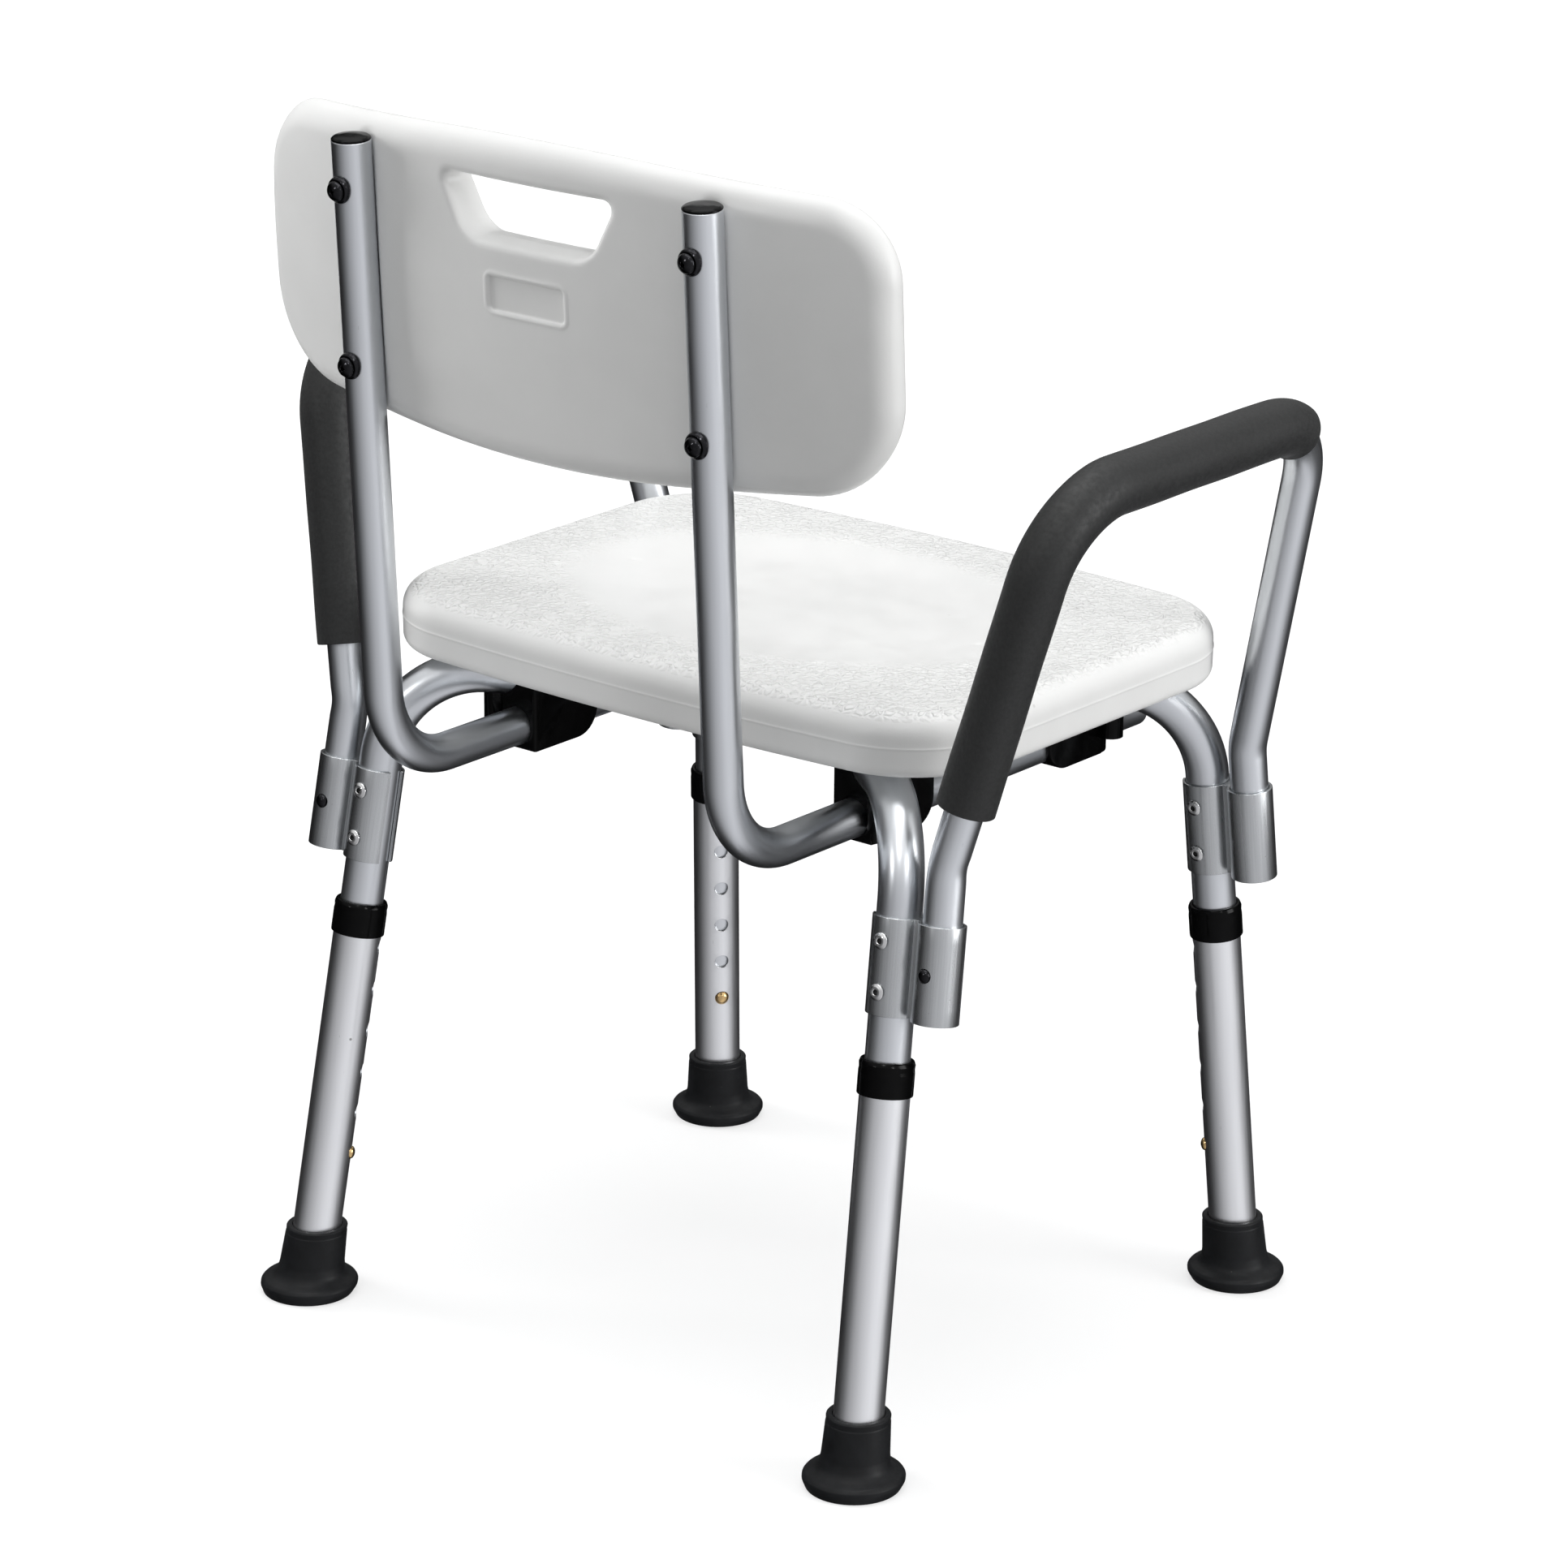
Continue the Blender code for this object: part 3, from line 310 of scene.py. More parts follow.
def swept_tube(name, path, outer, inner, sides=44, lip=0.0003, swell=None):
    """A hollow tube along a path, with broken edges at both ends."""
    start, *middle, end = path_frames(path)
    first, last = (path[1] - path[0]).normalized(), (path[-1] - path[-2]).normalized()
    near = (start[0] + first * lip, start[1], start[2], lip)
    far = (end[0] - last * lip, end[1], end[2], end[3] - lip)
    body = [near, *middle, far]
    plan = [(start, outer - lip)] + [(s, outer) for s in body] + [(end, outer - lip)]
    plan += [(end, inner + lip)] + [(s, inner) for s in reversed(body)] + [(start, inner + lip)]
    rings, lengths = [], []
    for (point, side, up, run), radius in plan:
        ring = []
        for j in range(sides):
            angle = 2 * pi * j / sides
            reach = radius
            if swell and radius > inner + lip:
                reach += swell(run, angle)
            ring.append(point + side * (reach * cos(angle)) + up * (reach * sin(angle)))
        rings.append(ring)
        lengths.append(run)
    return ring_mesh(name, rings, [*lengths, lengths[0]], closed=True)


def surface_net(name, field, grids, sharp=0):
    """The zero surface of a distance field on a rectilinear grid, as quads pulled onto the surface."""
    grid = np.meshgrid(*grids, indexing="ij")
    values, points = field(*grid), np.stack(grid, axis=-1)
    shape = np.array(values.shape) - 1
    total, count, crossings = np.zeros((*shape, 3)), np.zeros(shape), []
    for axis in range(3):
        low, high = [slice(None)] * 3, [slice(None)] * 3
        low[axis], high[axis] = slice(None, -1), slice(1, None)
        low, high = tuple(low), tuple(high)
        a, b = values[low], values[high]
        cut = (a < 0) != (b < 0)
        share = np.where(cut, a / np.where(cut, a - b, 1), 0)[..., None]
        where = points[low] * (1 - share) + points[high] * share
        one, two = [i for i in range(3) if i != axis]
        pick = [slice(None)] * 3
        for da, db in ((0, 0), (0, 1), (1, 0), (1, 1)):
            pick[one], pick[two] = slice(da, da + shape[one]), slice(db, db + shape[two])
            hit = cut[tuple(pick)]
            total += where[tuple(pick)] * hit[..., None]
            count += hit
        pick[one] = pick[two] = slice(1, -1)
        crossings.append((one, two, np.argwhere(cut[tuple(pick)])))
    used = count > 0
    index = np.full(shape, -1)
    index[used] = np.arange(used.sum())
    quads = []
    for one, two, cells in crossings:
        corners = []
        for da, db in ((0, 0), (1, 0), (1, 1), (0, 1)):
            shifted = cells.copy()
            shifted[:, one] += da
            shifted[:, two] += db
            corners.append(index[tuple(shifted.T)])
        quads.append(np.stack(corners, axis=1))
    quads = np.concatenate(quads)
    verts = total[used] / count[used][:, None]
    for _ in range(3):
        slope = gradient(field, verts)
        size = np.maximum((slope**2).sum(axis=1), 0.2)
        verts = verts - np.clip(field(*verts.T) / size, -0.001, 0.001)[:, None] * slope
    across = verts[quads[:, 2]] - verts[quads[:, 0]]
    over = verts[quads[:, 3]] - verts[quads[:, 1]]
    outward = gradient(field, verts[quads].mean(axis=1))
    inverted = (np.cross(across, over) * outward).sum(axis=1) < 0
    quads[inverted] = quads[inverted][:, ::-1]
    return mesh_from(name, verts, quads.tolist(), sharp=sharp)


def gradient(field, points, nudge=1e-5):
    sides = [nudge * axis for axis in np.eye(3)]
    parts = [field(*(points + s).T) - field(*(points - s).T) for s in sides]
    return np.stack(parts, axis=1) / (2 * nudge)


def lattice(low, high, step, fine=()):
    """Grid lines from low to high, with finer ones in each (from, to, step) stretch."""
    cuts = [low]
    while cuts[-1] < high:
        here = cuts[-1] + 1e-9
        size = step
        for start, stop, small in fine:
            if start <= here < stop:
                size = small
            elif here < start < here + size:
                size = start - here + 1e-9
        cuts.append(cuts[-1] + size)
    return np.array(cuts)


# Distance fields.


def smooth_max(a, b, soft):
    share = np.clip(0.5 - 0.5 * (a - b) / soft, 0, 1)
    return a + (b - a) * share + soft * share * (1 - share)


def smooth_min(a, b, soft):
    return -smooth_max(-a, -b, soft)


def rounded_box(x, y, half_x, half_y, radius):
    qx, qy = np.abs(x) - half_x + radius, np.abs(y) - half_y + radius
    outside = np.hypot(np.maximum(qx, 0), np.maximum(qy, 0))
    return outside + np.minimum(np.maximum(qx, qy), 0) - radius


def plate(outline, height, radius):
    """A flat outline's distance and a distance past its faces, joined with a rounded edge."""
    qx, qy = outline + radius, height + radius
    outside = np.hypot(np.maximum(qx, 0), np.maximum(qy, 0))
    return outside + np.minimum(np.maximum(qx, qy), 0) - radius


def step_between(value, low, high):
    t = np.clip((value - low) / (high - low), 0, 1)
    return t * t * (3 - 2 * t)


def bump_line(value, width):
    return np.exp(-((value / width) ** 2))


def trapezoid(x, z, half_low, half_high, half_height, radius):
    """A trapezoid's distance, wider at the top, with rounded corners."""
    slope = (half_high - half_low) / (2 * half_height)
    lean = (1 + slope**2) ** 0.5
    middle = (half_high + half_low) / 2
    side = (np.abs(x) - middle - slope * z) / lean
    flat = np.abs(z) - half_height
    return plate(side, flat, radius)



# Shader nodes.


class Shader:
    """A node tree with short calls. An input is a value or another node's socket."""

    def __init__(self, owner):
        owner.use_nodes = True
        self.tree = owner.node_tree

    def node(self, kind, inputs=None, **props):
        made = self.tree.nodes.new("ShaderNode" + kind)
        for key, value in props.items():
            setattr(made, key, value)
        for key, value in (inputs or {}).items():
            self.feed(value, made.inputs[key])
        return made

    def feed(self, value, socket):
        if isinstance(value, bpy.types.NodeSocket):
            self.tree.links.new(value, socket)
        else:
            socket.default_value = value

    def coordinates(self, kind="Object"):
        return self.node("TexCoord").outputs[kind]

    def noise(self, vector, scale, detail=3.0):
        inputs = {"Vector": vector, "Scale": scale, "Detail": detail}
        return self.node("TexNoise", inputs).outputs[0]

    def maths(self, operation, *values):
        return self.node("Math", dict(enumerate(values)), operation=operation).outputs[0]

    def ranged(self, value, low, high, to_low=0.0, to_high=1.0, kind="SMOOTHSTEP"):
        inputs = {"Value": value, "From Min": low, "From Max": high, "To Min": to_low, "To Max": to_high}
        return self.node("MapRange", inputs, interpolation_type=kind).outputs[0]

    def blended(self, factor, one, two):
        return self.node("Mix", {0: factor, 6: one, 7: two}, data_type="RGBA").outputs[2]

    def glow(self, kind, colour, strength):
        return self.node(kind, {"Color": colour, "Strength": strength}).outputs[0]

    def chosen(self, ray, otherwise, then):
        """One shader for a kind of ray and another for the rest."""
        picked = self.node("LightPath").outputs[ray]
        return self.node("MixShader", {0: picked, 1: otherwise, 2: then}).outputs[0]


# Studio and camera.


def build_world():
    """Camera rays see white, metal sees the ring of panels, and the rest is lit by a soft sky."""
    world = bpy.data.worlds.new("studio")
    bpy.context.scene.world = world
    shader = Shader(world)
    shader.tree.nodes.clear()
    white = (1, 1, 1, 1)
    toward = {"Vector": shader.coordinates("Generated"), "Angle": pi / 2 - CAMERA_AZIMUTH}
    turned_to = shader.node("VectorRotate", toward, rotation_type="Z_AXIS").outputs[0]
    across, ahead, height = shader.node("SeparateXYZ", {0: turned_to}).outputs
    share = shader.maths("MULTIPLY_ADD", shader.maths("ARCTAN2", ahead, across), 1 / (2 * pi), 0.5)
    ramp = shader.node("ValToRGB", {0: share})
    ramp.color_ramp.interpolation = "B_SPLINE"
    stops = ramp.color_ramp.elements
    for i, (degrees, bright) in enumerate(RING):
        at = (degrees + 180) / 360
        stop = stops[i] if i < 2 else stops.new(at)
        stop.position = at
        stop.color = (bright, bright, bright * 1.03, 1)
    seen_by_metal = shader.blended(shader.ranged(height, 0.25, 0.75), ramp.outputs[0], white)
    glossy = shader.glow("Background", seen_by_metal, 1.0)
    sky_tone = shader.ranged(height, -0.1, 0.9, *SKY, kind="LINEAR")
    sky = shader.glow("Background", (0.98, 0.99, 1, 1), sky_tone)
    first = shader.chosen("Is Glossy Ray", sky, glossy)
    last = shader.chosen("Is Camera Ray", first, shader.glow("Background", white, 1.0))
    shader.node("OutputWorld", {0: last})


def build_floor():
    mesh = shaped("floor", bmesh.ops.create_circle, cap_ends=True, segments=96, radius=16)
    floor = linked("floor", mesh)
    floor.visible_glossy = False
    material = bpy.data.materials.new("floor_white")
    shader = Shader(material)
    surface_node = shader.tree.nodes["Principled BSDF"]
    surface_node.inputs["Roughness"].default_value = 0.9
    surface_node.inputs["Specular IOR Level"].default_value = 0.0
    place = shader.coordinates()
    tones = [(tone, tone, tone, 1) for tone in (FLOOR_TONE, FLOOR_TONE + 0.02)]
    shader.feed(shader.blended(shader.noise(place, 3.0), *tones), surface_node.inputs["Base Color"])
    reach = shader.node("VectorMath", {0: place}, operation="LENGTH").outputs["Value"]
    seen = shader.glow("Emission", (1, 1, 1, 1), shader.ranged(reach, 0.3, 3.0, *FLOOR_GLOW))
    lit = shader.chosen("Is Camera Ray", shader.glow("Emission", (0, 0, 0, 1), 0.0), seen)
    both = shader.node("AddShader", {0: surface_node.outputs[0], 1: lit}).outputs[0]
    shader.feed(both, shader.tree.nodes["Material Output"].inputs[0])
    mesh.materials.append(material)


def softbox(name, place, aim_height, size, power, glossy=True, diffuse=True):
    light = bpy.data.lights.new(name, "AREA")
    light.shape = "RECTANGLE"
    light.size, light.size_y = size
    light.energy = power
    lamp = linked(name, light)
    lamp.matrix_world = placement(place, Vector(place) - Z * aim_height, (0.01, 1, 0))
    lamp.visible_glossy, lamp.visible_diffuse = glossy, diffuse


def build_camera():
    a, e = CAMERA_AZIMUTH, CAMERA_ELEVATION
    back = Vector((sin(a) * cos(e), -cos(a) * cos(e), sin(e)))
    right = (-back).cross(Z).normalized()
    up = right.cross(-back)
    across = cos(CAMERA_ROLL) * right + sin(CAMERA_ROLL) * up
    camera_up = cos(CAMERA_ROLL) * up - sin(CAMERA_ROLL) * right
    camera = bpy.data.cameras.new("camera")
    camera.lens, camera.sensor_width = CAMERA_LENS, SENSOR
    holder = linked("camera", camera)
    pose = Matrix((across, camera_up, back)).transposed().to_4x4()
    holder.matrix_world = Matrix.Translation(CAMERA_AT) @ pose
    bpy.context.scene.camera = holder


# Materials.


def surface(name, colour, roughness, metallic=0.0, coords="Object", stretch=(1, 1, 1), tone=(60, 0.05),
            rough=(90, 0.06), bumps=(), specks=None, scratches=None, wear=None, sockets=None):
    """A procedural finish. Noise scales are per metre, and bump heights in metres."""
    material = bpy.data.materials.new(name)
    material.diffuse_color = (*colour, 1)
    shader = Shader(material)
    inputs = shader.tree.nodes["Principled BSDF"].inputs
    for key, value in {"Metallic": metallic, **(sockets or {})}.items():
        inputs[key].default_value = value
    place = shader.coordinates(coords)
    drawn = shader.node("Mapping", {"Vector": place, "Scale": stretch}).outputs[0]
    scale, amount = tone
    shades = [tuple(min(1.0, c * by) for c in colour) + (1,) for by in (1 - amount, 1 + amount)]
    look = shader.blended(shader.ranged(shader.noise(drawn, scale), 0.3, 0.7), *shades)
    scale, amount = rough
    gloss = shader.ranged(shader.noise(drawn, scale, 4.0), 0.3, 0.7, roughness - amount, roughness + amount)

    def mark(mask, mark_colour, mark_rough):
        mixed = shader.node("Mix", {0: mask, 2: gloss, 3: mark_rough}, data_type="FLOAT")
        return shader.blended(mask, look, (*mark_colour, 1)), mixed.outputs[0]

    if specks:
        scale, share, speck_colour = specks
        cells = shader.node("TexVoronoi", {"Vector": place, "Scale": scale})
        spot = shader.ranged(cells.outputs["Distance"], 0.05, 0.13, 1.0, 0.0)
        lot = shader.node("SeparateColor", {0: cells.outputs["Color"]}).outputs[0]
        both = shader.maths("MULTIPLY", spot, shader.ranged(lot, 1 - share, 1.0))
        look, gloss = mark(both, speck_colour, min(1.0, roughness + 0.25))
    if scratches:
        across, along, start, scratch_colour = scratches
        dashes = shader.node("Mapping", {"Vector": place, "Scale": (across, along, along)}).outputs[0]
        mask = shader.ranged(shader.noise(dashes, 1.0, 2.0), start, start + 0.04)
        look, gloss = mark(mask, scratch_colour, max(0.05, roughness - 0.1))
    if wear:
        radius, wear_colour, wear_rough = wear
        soft = shader.node("Bevel", {"Radius": radius}, samples=4).outputs[0]
        true = shader.node("NewGeometry").outputs["Normal"]
        dot = shader.node("VectorMath", {0: soft, 1: true}, operation="DOT_PRODUCT").outputs["Value"]
        patchy = shader.ranged(shader.noise(place, 260), 0.35, 0.65, 0.3, 1.0)
        mask = shader.maths("MULTIPLY", shader.ranged(dot, 0.99, 0.84), patchy)
        look, gloss = mark(mask, wear_colour, wear_rough)
    normal = None
    for scale, height in bumps:
        relief = {"Height": shader.noise(drawn, scale, 4.0), "Distance": height, "Strength": 1.0}
        if normal:
            relief["Normal"] = normal
        normal = shader.node("Bump", relief).outputs[0]
        shader.feed(normal, inputs["Normal"])
    shader.feed(look, inputs["Base Color"])
    shader.feed(gloss, inputs["Roughness"])
    return material


def pebbled(material):
    """Adds a leathery non-slip grain to the raised rim of the seat's top."""
    shader = Shader(material)
    normal = shader.tree.nodes["Principled BSDF"].inputs["Normal"]
    place = shader.coordinates()
    parts = shader.node("SeparateXYZ", {0: place}).outputs
    reach = []
    for along, middle, half in zip(parts, (0.0, SEAT_MIDDLE_Y), DISH_HALF):
        share = shader.maths("MULTIPLY_ADD", along, 1 / half, -middle / half)
        reach.append(shader.maths("POWER", share, 2.0))
    outside = shader.ranged(shader.maths("ADD", *reach), 0.70, 1.15)
    above = shader.ranged(parts[2], SEAT_TOP - 0.004, SEAT_TOP - 0.001, kind="LINEAR")
    mask = shader.maths("MULTIPLY", outside, above)
    warp = shader.node("TexNoise", {"Vector": place, "Scale": 180.0, "Detail": 1.0}).outputs["Color"]
    shift = shader.node("VectorMath", {0: warp, 3: 0.004}, operation="SCALE").outputs[0]
    moved = shader.node("VectorMath", {0: place, 1: shift}, operation="ADD").outputs[0]
    cells = shader.node("TexVoronoi", {"Vector": moved, "Scale": 210.0}, feature="DISTANCE_TO_EDGE")
    height = shader.maths("MULTIPLY", shader.ranged(cells.outputs[0], 0.02, 0.30), mask)
    relief = {"Height": height, "Distance": 0.0007, "Strength": 1.0, "Normal": normal.links[0].from_socket}
    shader.feed(shader.node("Bump", relief).outputs[0], normal)
    return material


WHITE_SHADE, WHITE_EDGE = (0.80, 0.80, 0.79), (0.87, 0.87, 0.86)
PLASTIC = dict(
    tone=(25, 0.012), rough=(70, 0.05), bumps=[(1400, 0.00004), (160, 0.00005)],
    specks=(90, 0.02, (0.55, 0.54, 0.52)), wear=(0.0012, WHITE_EDGE, 0.30),
    sockets={"Specular IOR Level": 0.42},
)
WHITE = surface("white_plastic", WHITE_SHADE, 0.36, **PLASTIC)
SEAT_WHITE = pebbled(surface("white_plastic_seat", WHITE_SHADE, 0.38, **PLASTIC))
ALLOY = dict(
    metallic=1.0, coords="UV", stretch=(1, 0.05, 1), tone=(240, 0.02), rough=(500, 0.025),
    bumps=[(2400, 0.000003), (500, 0.0000015)], specks=(110, 0.035, (0.30, 0.30, 0.30)),
    scratches=(900, 60, 0.76, (0.42, 0.43, 0.44)), wear=(0.0005, (0.72, 0.72, 0.73), 0.25),
)
TUBE_ALLOY = surface("satin_aluminium", (0.63, 0.65, 0.675), 0.32, **ALLOY)
LEG_ALLOY = surface("pale_aluminium", (0.80, 0.81, 0.825), 0.33, **ALLOY)
BRACKET_ALLOY = surface(
    "bracket_aluminium", (0.50, 0.515, 0.525), 0.30, 1.0, stretch=(1, 1, 0.02), tone=(900, 0.05),
    rough=(1400, 0.04), bumps=[(2600, 0.000006), (900, 0.000008)], specks=(260, 0.05, (0.30, 0.30, 0.30)),
    wear=(0.0004, (0.70, 0.70, 0.71), 0.25),
)
GLOSS_BLACK = surface(
    "black_plastic", (0.0014, 0.0014, 0.0015), 0.16, tone=(200, 0.3), rough=(140, 0.04),
    bumps=[(500, 0.00001)], specks=(240, 0.02, (0.05, 0.05, 0.05)),
    wear=(0.0005, (0.006, 0.006, 0.0065), 0.16), sockets={"Specular IOR Level": 0.09},
)
RUBBER = surface(
    "black_rubber", (0.0055, 0.0060, 0.0070), 0.50, tone=(120, 0.25), rough=(90, 0.08),
    bumps=[(1100, 0.00002), (200, 0.00004)], specks=(200, 0.04, (0.05, 0.05, 0.05)),
    wear=(0.0009, (0.022, 0.028, 0.034), 0.42),
    sockets={"Specular IOR Level": 0.20, "Sheen Weight": 0.03, "Sheen Roughness": 0.4},
)
FOAM = surface(
    "charcoal_foam", (0.0140, 0.0145, 0.0145), 0.58, tone=(500, 0.16), rough=(300, 0.08),
    bumps=[(2200, 0.00004), (500, 0.00004)], specks=(700, 0.10, (0.040, 0.040, 0.040)),
    wear=(0.0012, (0.04, 0.04, 0.04), 0.7),
    sockets={"Specular IOR Level": 0.36, "Sheen Weight": 0.05, "Sheen Roughness": 0.5},
)
BRASS = surface(
    "brass", (0.66, 0.46, 0.22), 0.22, 1.0, tone=(300, 0.12), rough=(500, 0.06), bumps=[(2000, 0.000006)],
    specks=(500, 0.08, (0.25, 0.16, 0.08)), wear=(0.0004, (0.85, 0.66, 0.38), 0.15),
)
DARK_CHROME = surface(
    "dark_chrome", (0.022, 0.022, 0.024), 0.16, 1.0, tone=(350, 0.15), rough=(500, 0.03),
    bumps=[(1200, 0.000012)], specks=(600, 0.05, (0.05, 0.05, 0.05)),
    wear=(0.0003, (0.16, 0.16, 0.165), 0.1),
)
STEEL = surface(
    "bright_steel", (0.66, 0.66, 0.66), 0.18, 1.0, tone=(350, 0.08), rough=(500, 0.05),
    bumps=[(1500, 0.00001)], specks=(600, 0.05, (0.25, 0.25, 0.25)),
    wear=(0.0004, (0.85, 0.85, 0.85), 0.12),
)
# Painted shade: the rivet's bore is coloured near black in place of the shadow inside a deeper hollow.
RIVET_HOLLOW_SHADE = surface(
    "rivet_hollow_painted_shade", (0.03, 0.03, 0.03), 0.5, 0.6, tone=(400, 0.3), rough=(400, 0.1),
    bumps=[(1500, 0.00003)], specks=(500, 0.1, (0.12, 0.12, 0.12)),
)


# The seat and the backrest.


def seat_field(x, y, z):
    from_middle = y - SEAT_MIDDLE_Y
    side = rounded_box(
        x, np.abs(from_middle) + SEAT_BOW * x**2, SEAT_HALF_WIDTH, SEAT_HALF_DEPTH, SEAT_CORNER
    )
    side = side + SEAT_DRAFT * np.abs(z - SEAT_PARTING)
    side = side - PARTING_DEPTH * bump_line(z - SEAT_PARTING, PARTING_WIDTH)
    reach = ((x / DISH_HALF[0]) ** 2 + (from_middle / DISH_HALF[1]) ** 2) ** 0.5
    dish = DISH_DEPTH * (1 - step_between(reach, *DISH_RISE))
    for px, py in SEAT_DIMPLES:
        dish = dish + DIMPLE_DEPTH * bump_line(np.hypot(x - px, y - py), DIMPLE_RADIUS)
    upper = plate(side, z - SEAT_TOP + dish, SEAT_TOP_EDGE)
    off_x, off_y = off_centre(x, WELL_PITCH[0]), off_centre(from_middle, WELL_PITCH[1])
    well = 1 - step_between(np.hypot(off_x, off_y), *WELL_REACH)
    lower = plate(side, SEAT_BOTTOM - z + WELL_DEPTH * well * (side < -WELL_MARGIN), SEAT_LOW_EDGE)
    return np.maximum(upper, lower)


def off_centre(value, pitch):
    """The distance from the nearest of a row of centres."""
    return np.abs(((value / pitch) + 0.5) % 1 - 0.5) * pitch


def build_seat():
    fine = [[(at - 0.006, at + 0.006, 0.0008) for at in sorted(set(axis))] for axis in zip(*SEAT_DIMPLES)]
    xs = lattice(-0.216, 0.2165, 0.0020, fine[0])
    ys = lattice(-0.194, 0.130, 0.0020, fine[1])
    zs = lattice(0.386, 0.4285, 0.0014, [(SEAT_PARTING - 0.0016, SEAT_PARTING + 0.0016, 0.0004)])
    piece("seat_shell", surface_net("seat_shell", seat_field, (xs, ys, zs)), SEAT_WHITE, "frame", "seat")


def rest_outline(x, z):
    """The backrest's outline: both edges arched in the middle and straight beyond."""
    wide = np.abs(x)
    (top_flat, top_arch), (low_flat, low_arch) = REST_TOP_ARCH, REST_BOTTOM_ARCH
    bottom = REST_BOTTOM + np.minimum(wide, low_flat) ** 2 / low_arch
    bottom = bottom + REST_BOTTOM_SLOPE * np.maximum(wide - low_flat, 0)
    top = REST_TOP - np.minimum(wide, top_flat) ** 2 / top_arch
    top = top - REST_TOP_SLOPE * np.maximum(wide - top_flat, 0)
    side = wide - REST_HALF_WIDTH
    return np.maximum(plate(side, z - top, REST_TOP_CORNER), plate(side, bottom - z, REST_BOTTOM_CORNER))


def rest_field(x, y, z):
    """The backrest in the back's own frame: a panel bent round the sitter, its rear face at +Y."""
    reach = REST_BEND_RADIUS + y - REST_MIDDLE_Y
    flat_x = np.arctan2(x, reach) * REST_BEND_RADIUS
    depth = np.hypot(x, reach) - REST_BEND_RADIUS
    edge = rest_outline(flat_x, z)
    tall = (z - REST_MIDDLE_Z) / (REST_TOP - REST_MIDDLE_Z)
    corner = np.abs(flat_x / REST_HALF_WIDTH) ** 4 * np.maximum(tall, 0) ** 2
    crown = REST_CROWN * tall**2 + REST_CORNER_CROWN * corner
    rear, front = depth - REST_THICKNESS / 2 + crown, -depth - REST_THICKNESS / 2
    parting = 0.00015 * bump_line(depth, 0.0008)
    body = np.maximum(
        plate(edge * REST_SOFT - parting, rear, REST_EDGE), plate(edge - parting, front, REST_EDGE)
    )
    # The hand slot opens out a little from its middle towards both faces.
    draft = SLOT_DRAFT * (np.abs(depth) - SLOT_WAIST)
    hole = trapezoid(x, z - SLOT_Z, SLOT_BOTTOM, SLOT_TOP, SLOT_HEIGHT / 2, SLOT_CORNER) - draft
    body = smooth_max(body, -hole, SLOT_LIP)
    recess = rounded_box(x, z - LABEL_Z, LABEL_SIZE[0] / 2, LABEL_SIZE[1] / 2, LABEL_CORNER)
    sunk = np.maximum(recess, REST_REAR - LABEL_DEPTH - y)
    # A low raised line runs round the blank recess.
    body = body - 0.0005 * bump_line(recess - 0.0018, 0.0010) * (y > REST_MIDDLE_Y)
    body = smooth_max(body, -sunk, 0.0007)
    for side in SIDES.values():
        groove = np.hypot(x - side * BACK_X, y) - BACK_TUBE_RADIUS - 0.0004
        body = smooth_max(body, -groove, 0.0024)
    return body


def build_backrest():
    slot_x = (-SLOT_TOP - 0.014, SLOT_TOP + 0.016, 0.0011)
    groove = [(s * 0.131 - 0.016, s * 0.131 + 0.016, 0.0010) for s in (-1, 1)]
    xs = lattice(-0.2300, 0.2305, 0.0019, [groove[0], slot_x, groove[1]])
    zs = lattice(0.1990, 0.3885, 0.0019, [(0.2860, 0.3125, 0.0009), (0.3200, 0.3700, 0.0010)])
    ys = lattice(-0.0600, 0.0062, 0.0012, [(-0.0040, 0.0040, 0.0008)])
    mesh = surface_net("backrest_shell", rest_field, (xs, ys, zs))
    mesh.transform(BACK_PLACE)
    piece("backrest_shell", mesh, WHITE, "back", "backrest")


# Tubes.


def knee_dents(runs):
    """A tube's slight flattening where it was bent."""

    def swell(run, angle):
        dent = sum(bump_line(run - at, KNEE_DENT_REACH) for at in runs)
        return -KNEE_DENT_DEPTH * dent * (0.5 + 0.5 * cos(2 * angle))

    return swell


def foam_swell(run, angle):
    """The foam's soft unevenness, about a quarter of a millimetre."""
    wave = sin(run * 41 + 1.3) * cos(angle * 2 + run * 17) + 0.6 * sin(run * 97 + angle * 3)
    return 0.00015 * wave - 0.0002


def split(a, b, step=0.030):
    """Points between two ends of a straight run, so that noise and shading stay even."""
    count = max(1, round((b - a).length / step))
    return [a.lerp(b, i / count) for i in range(1, count)]


def fine_path(corners, radii):
    path = bent_path(corners, radii)
    out = [path[0]]
    for point in path[1:]:
        out += split(out[-1], point) + [point]
    return out


def build_leg_arch(name, rear_side, dipped):
    start, finish = (rear_side, "rear"), opposite(rear_side, "rear")
    top_start, top_finish = leg_point(*start, ARCH_Z), leg_point(*finish, ARCH_Z)
    along = arch_direction(*start)
    corners = [leg_frame(*start) @ Vector((0, 0, LEG_START)), top_start]
    radii = [ARCH_BEND]
    if dipped:
        middle = top_start + along * (top_start.x / -along.x)
        for reach, drop in ((-DIP_OUTER, 0), (-DIP_INNER, 1), (DIP_INNER, 1), (DIP_OUTER, 0)):
            corners.append(middle + along * reach - Z * DIP_DEPTH * drop)
            radii.append(DIP_BEND)
    corners += [top_finish, leg_frame(*finish) @ Vector((0, 0, LEG_START))]
    radii.append(ARCH_BEND)
    mesh = swept_tube(name + "_tube", fine_path(corners, radii), LEG_RADIUS, LEG_RADIUS - LEG_WALL)
    piece(name + "_tube", mesh, TUBE_ALLOY, "frame", name)


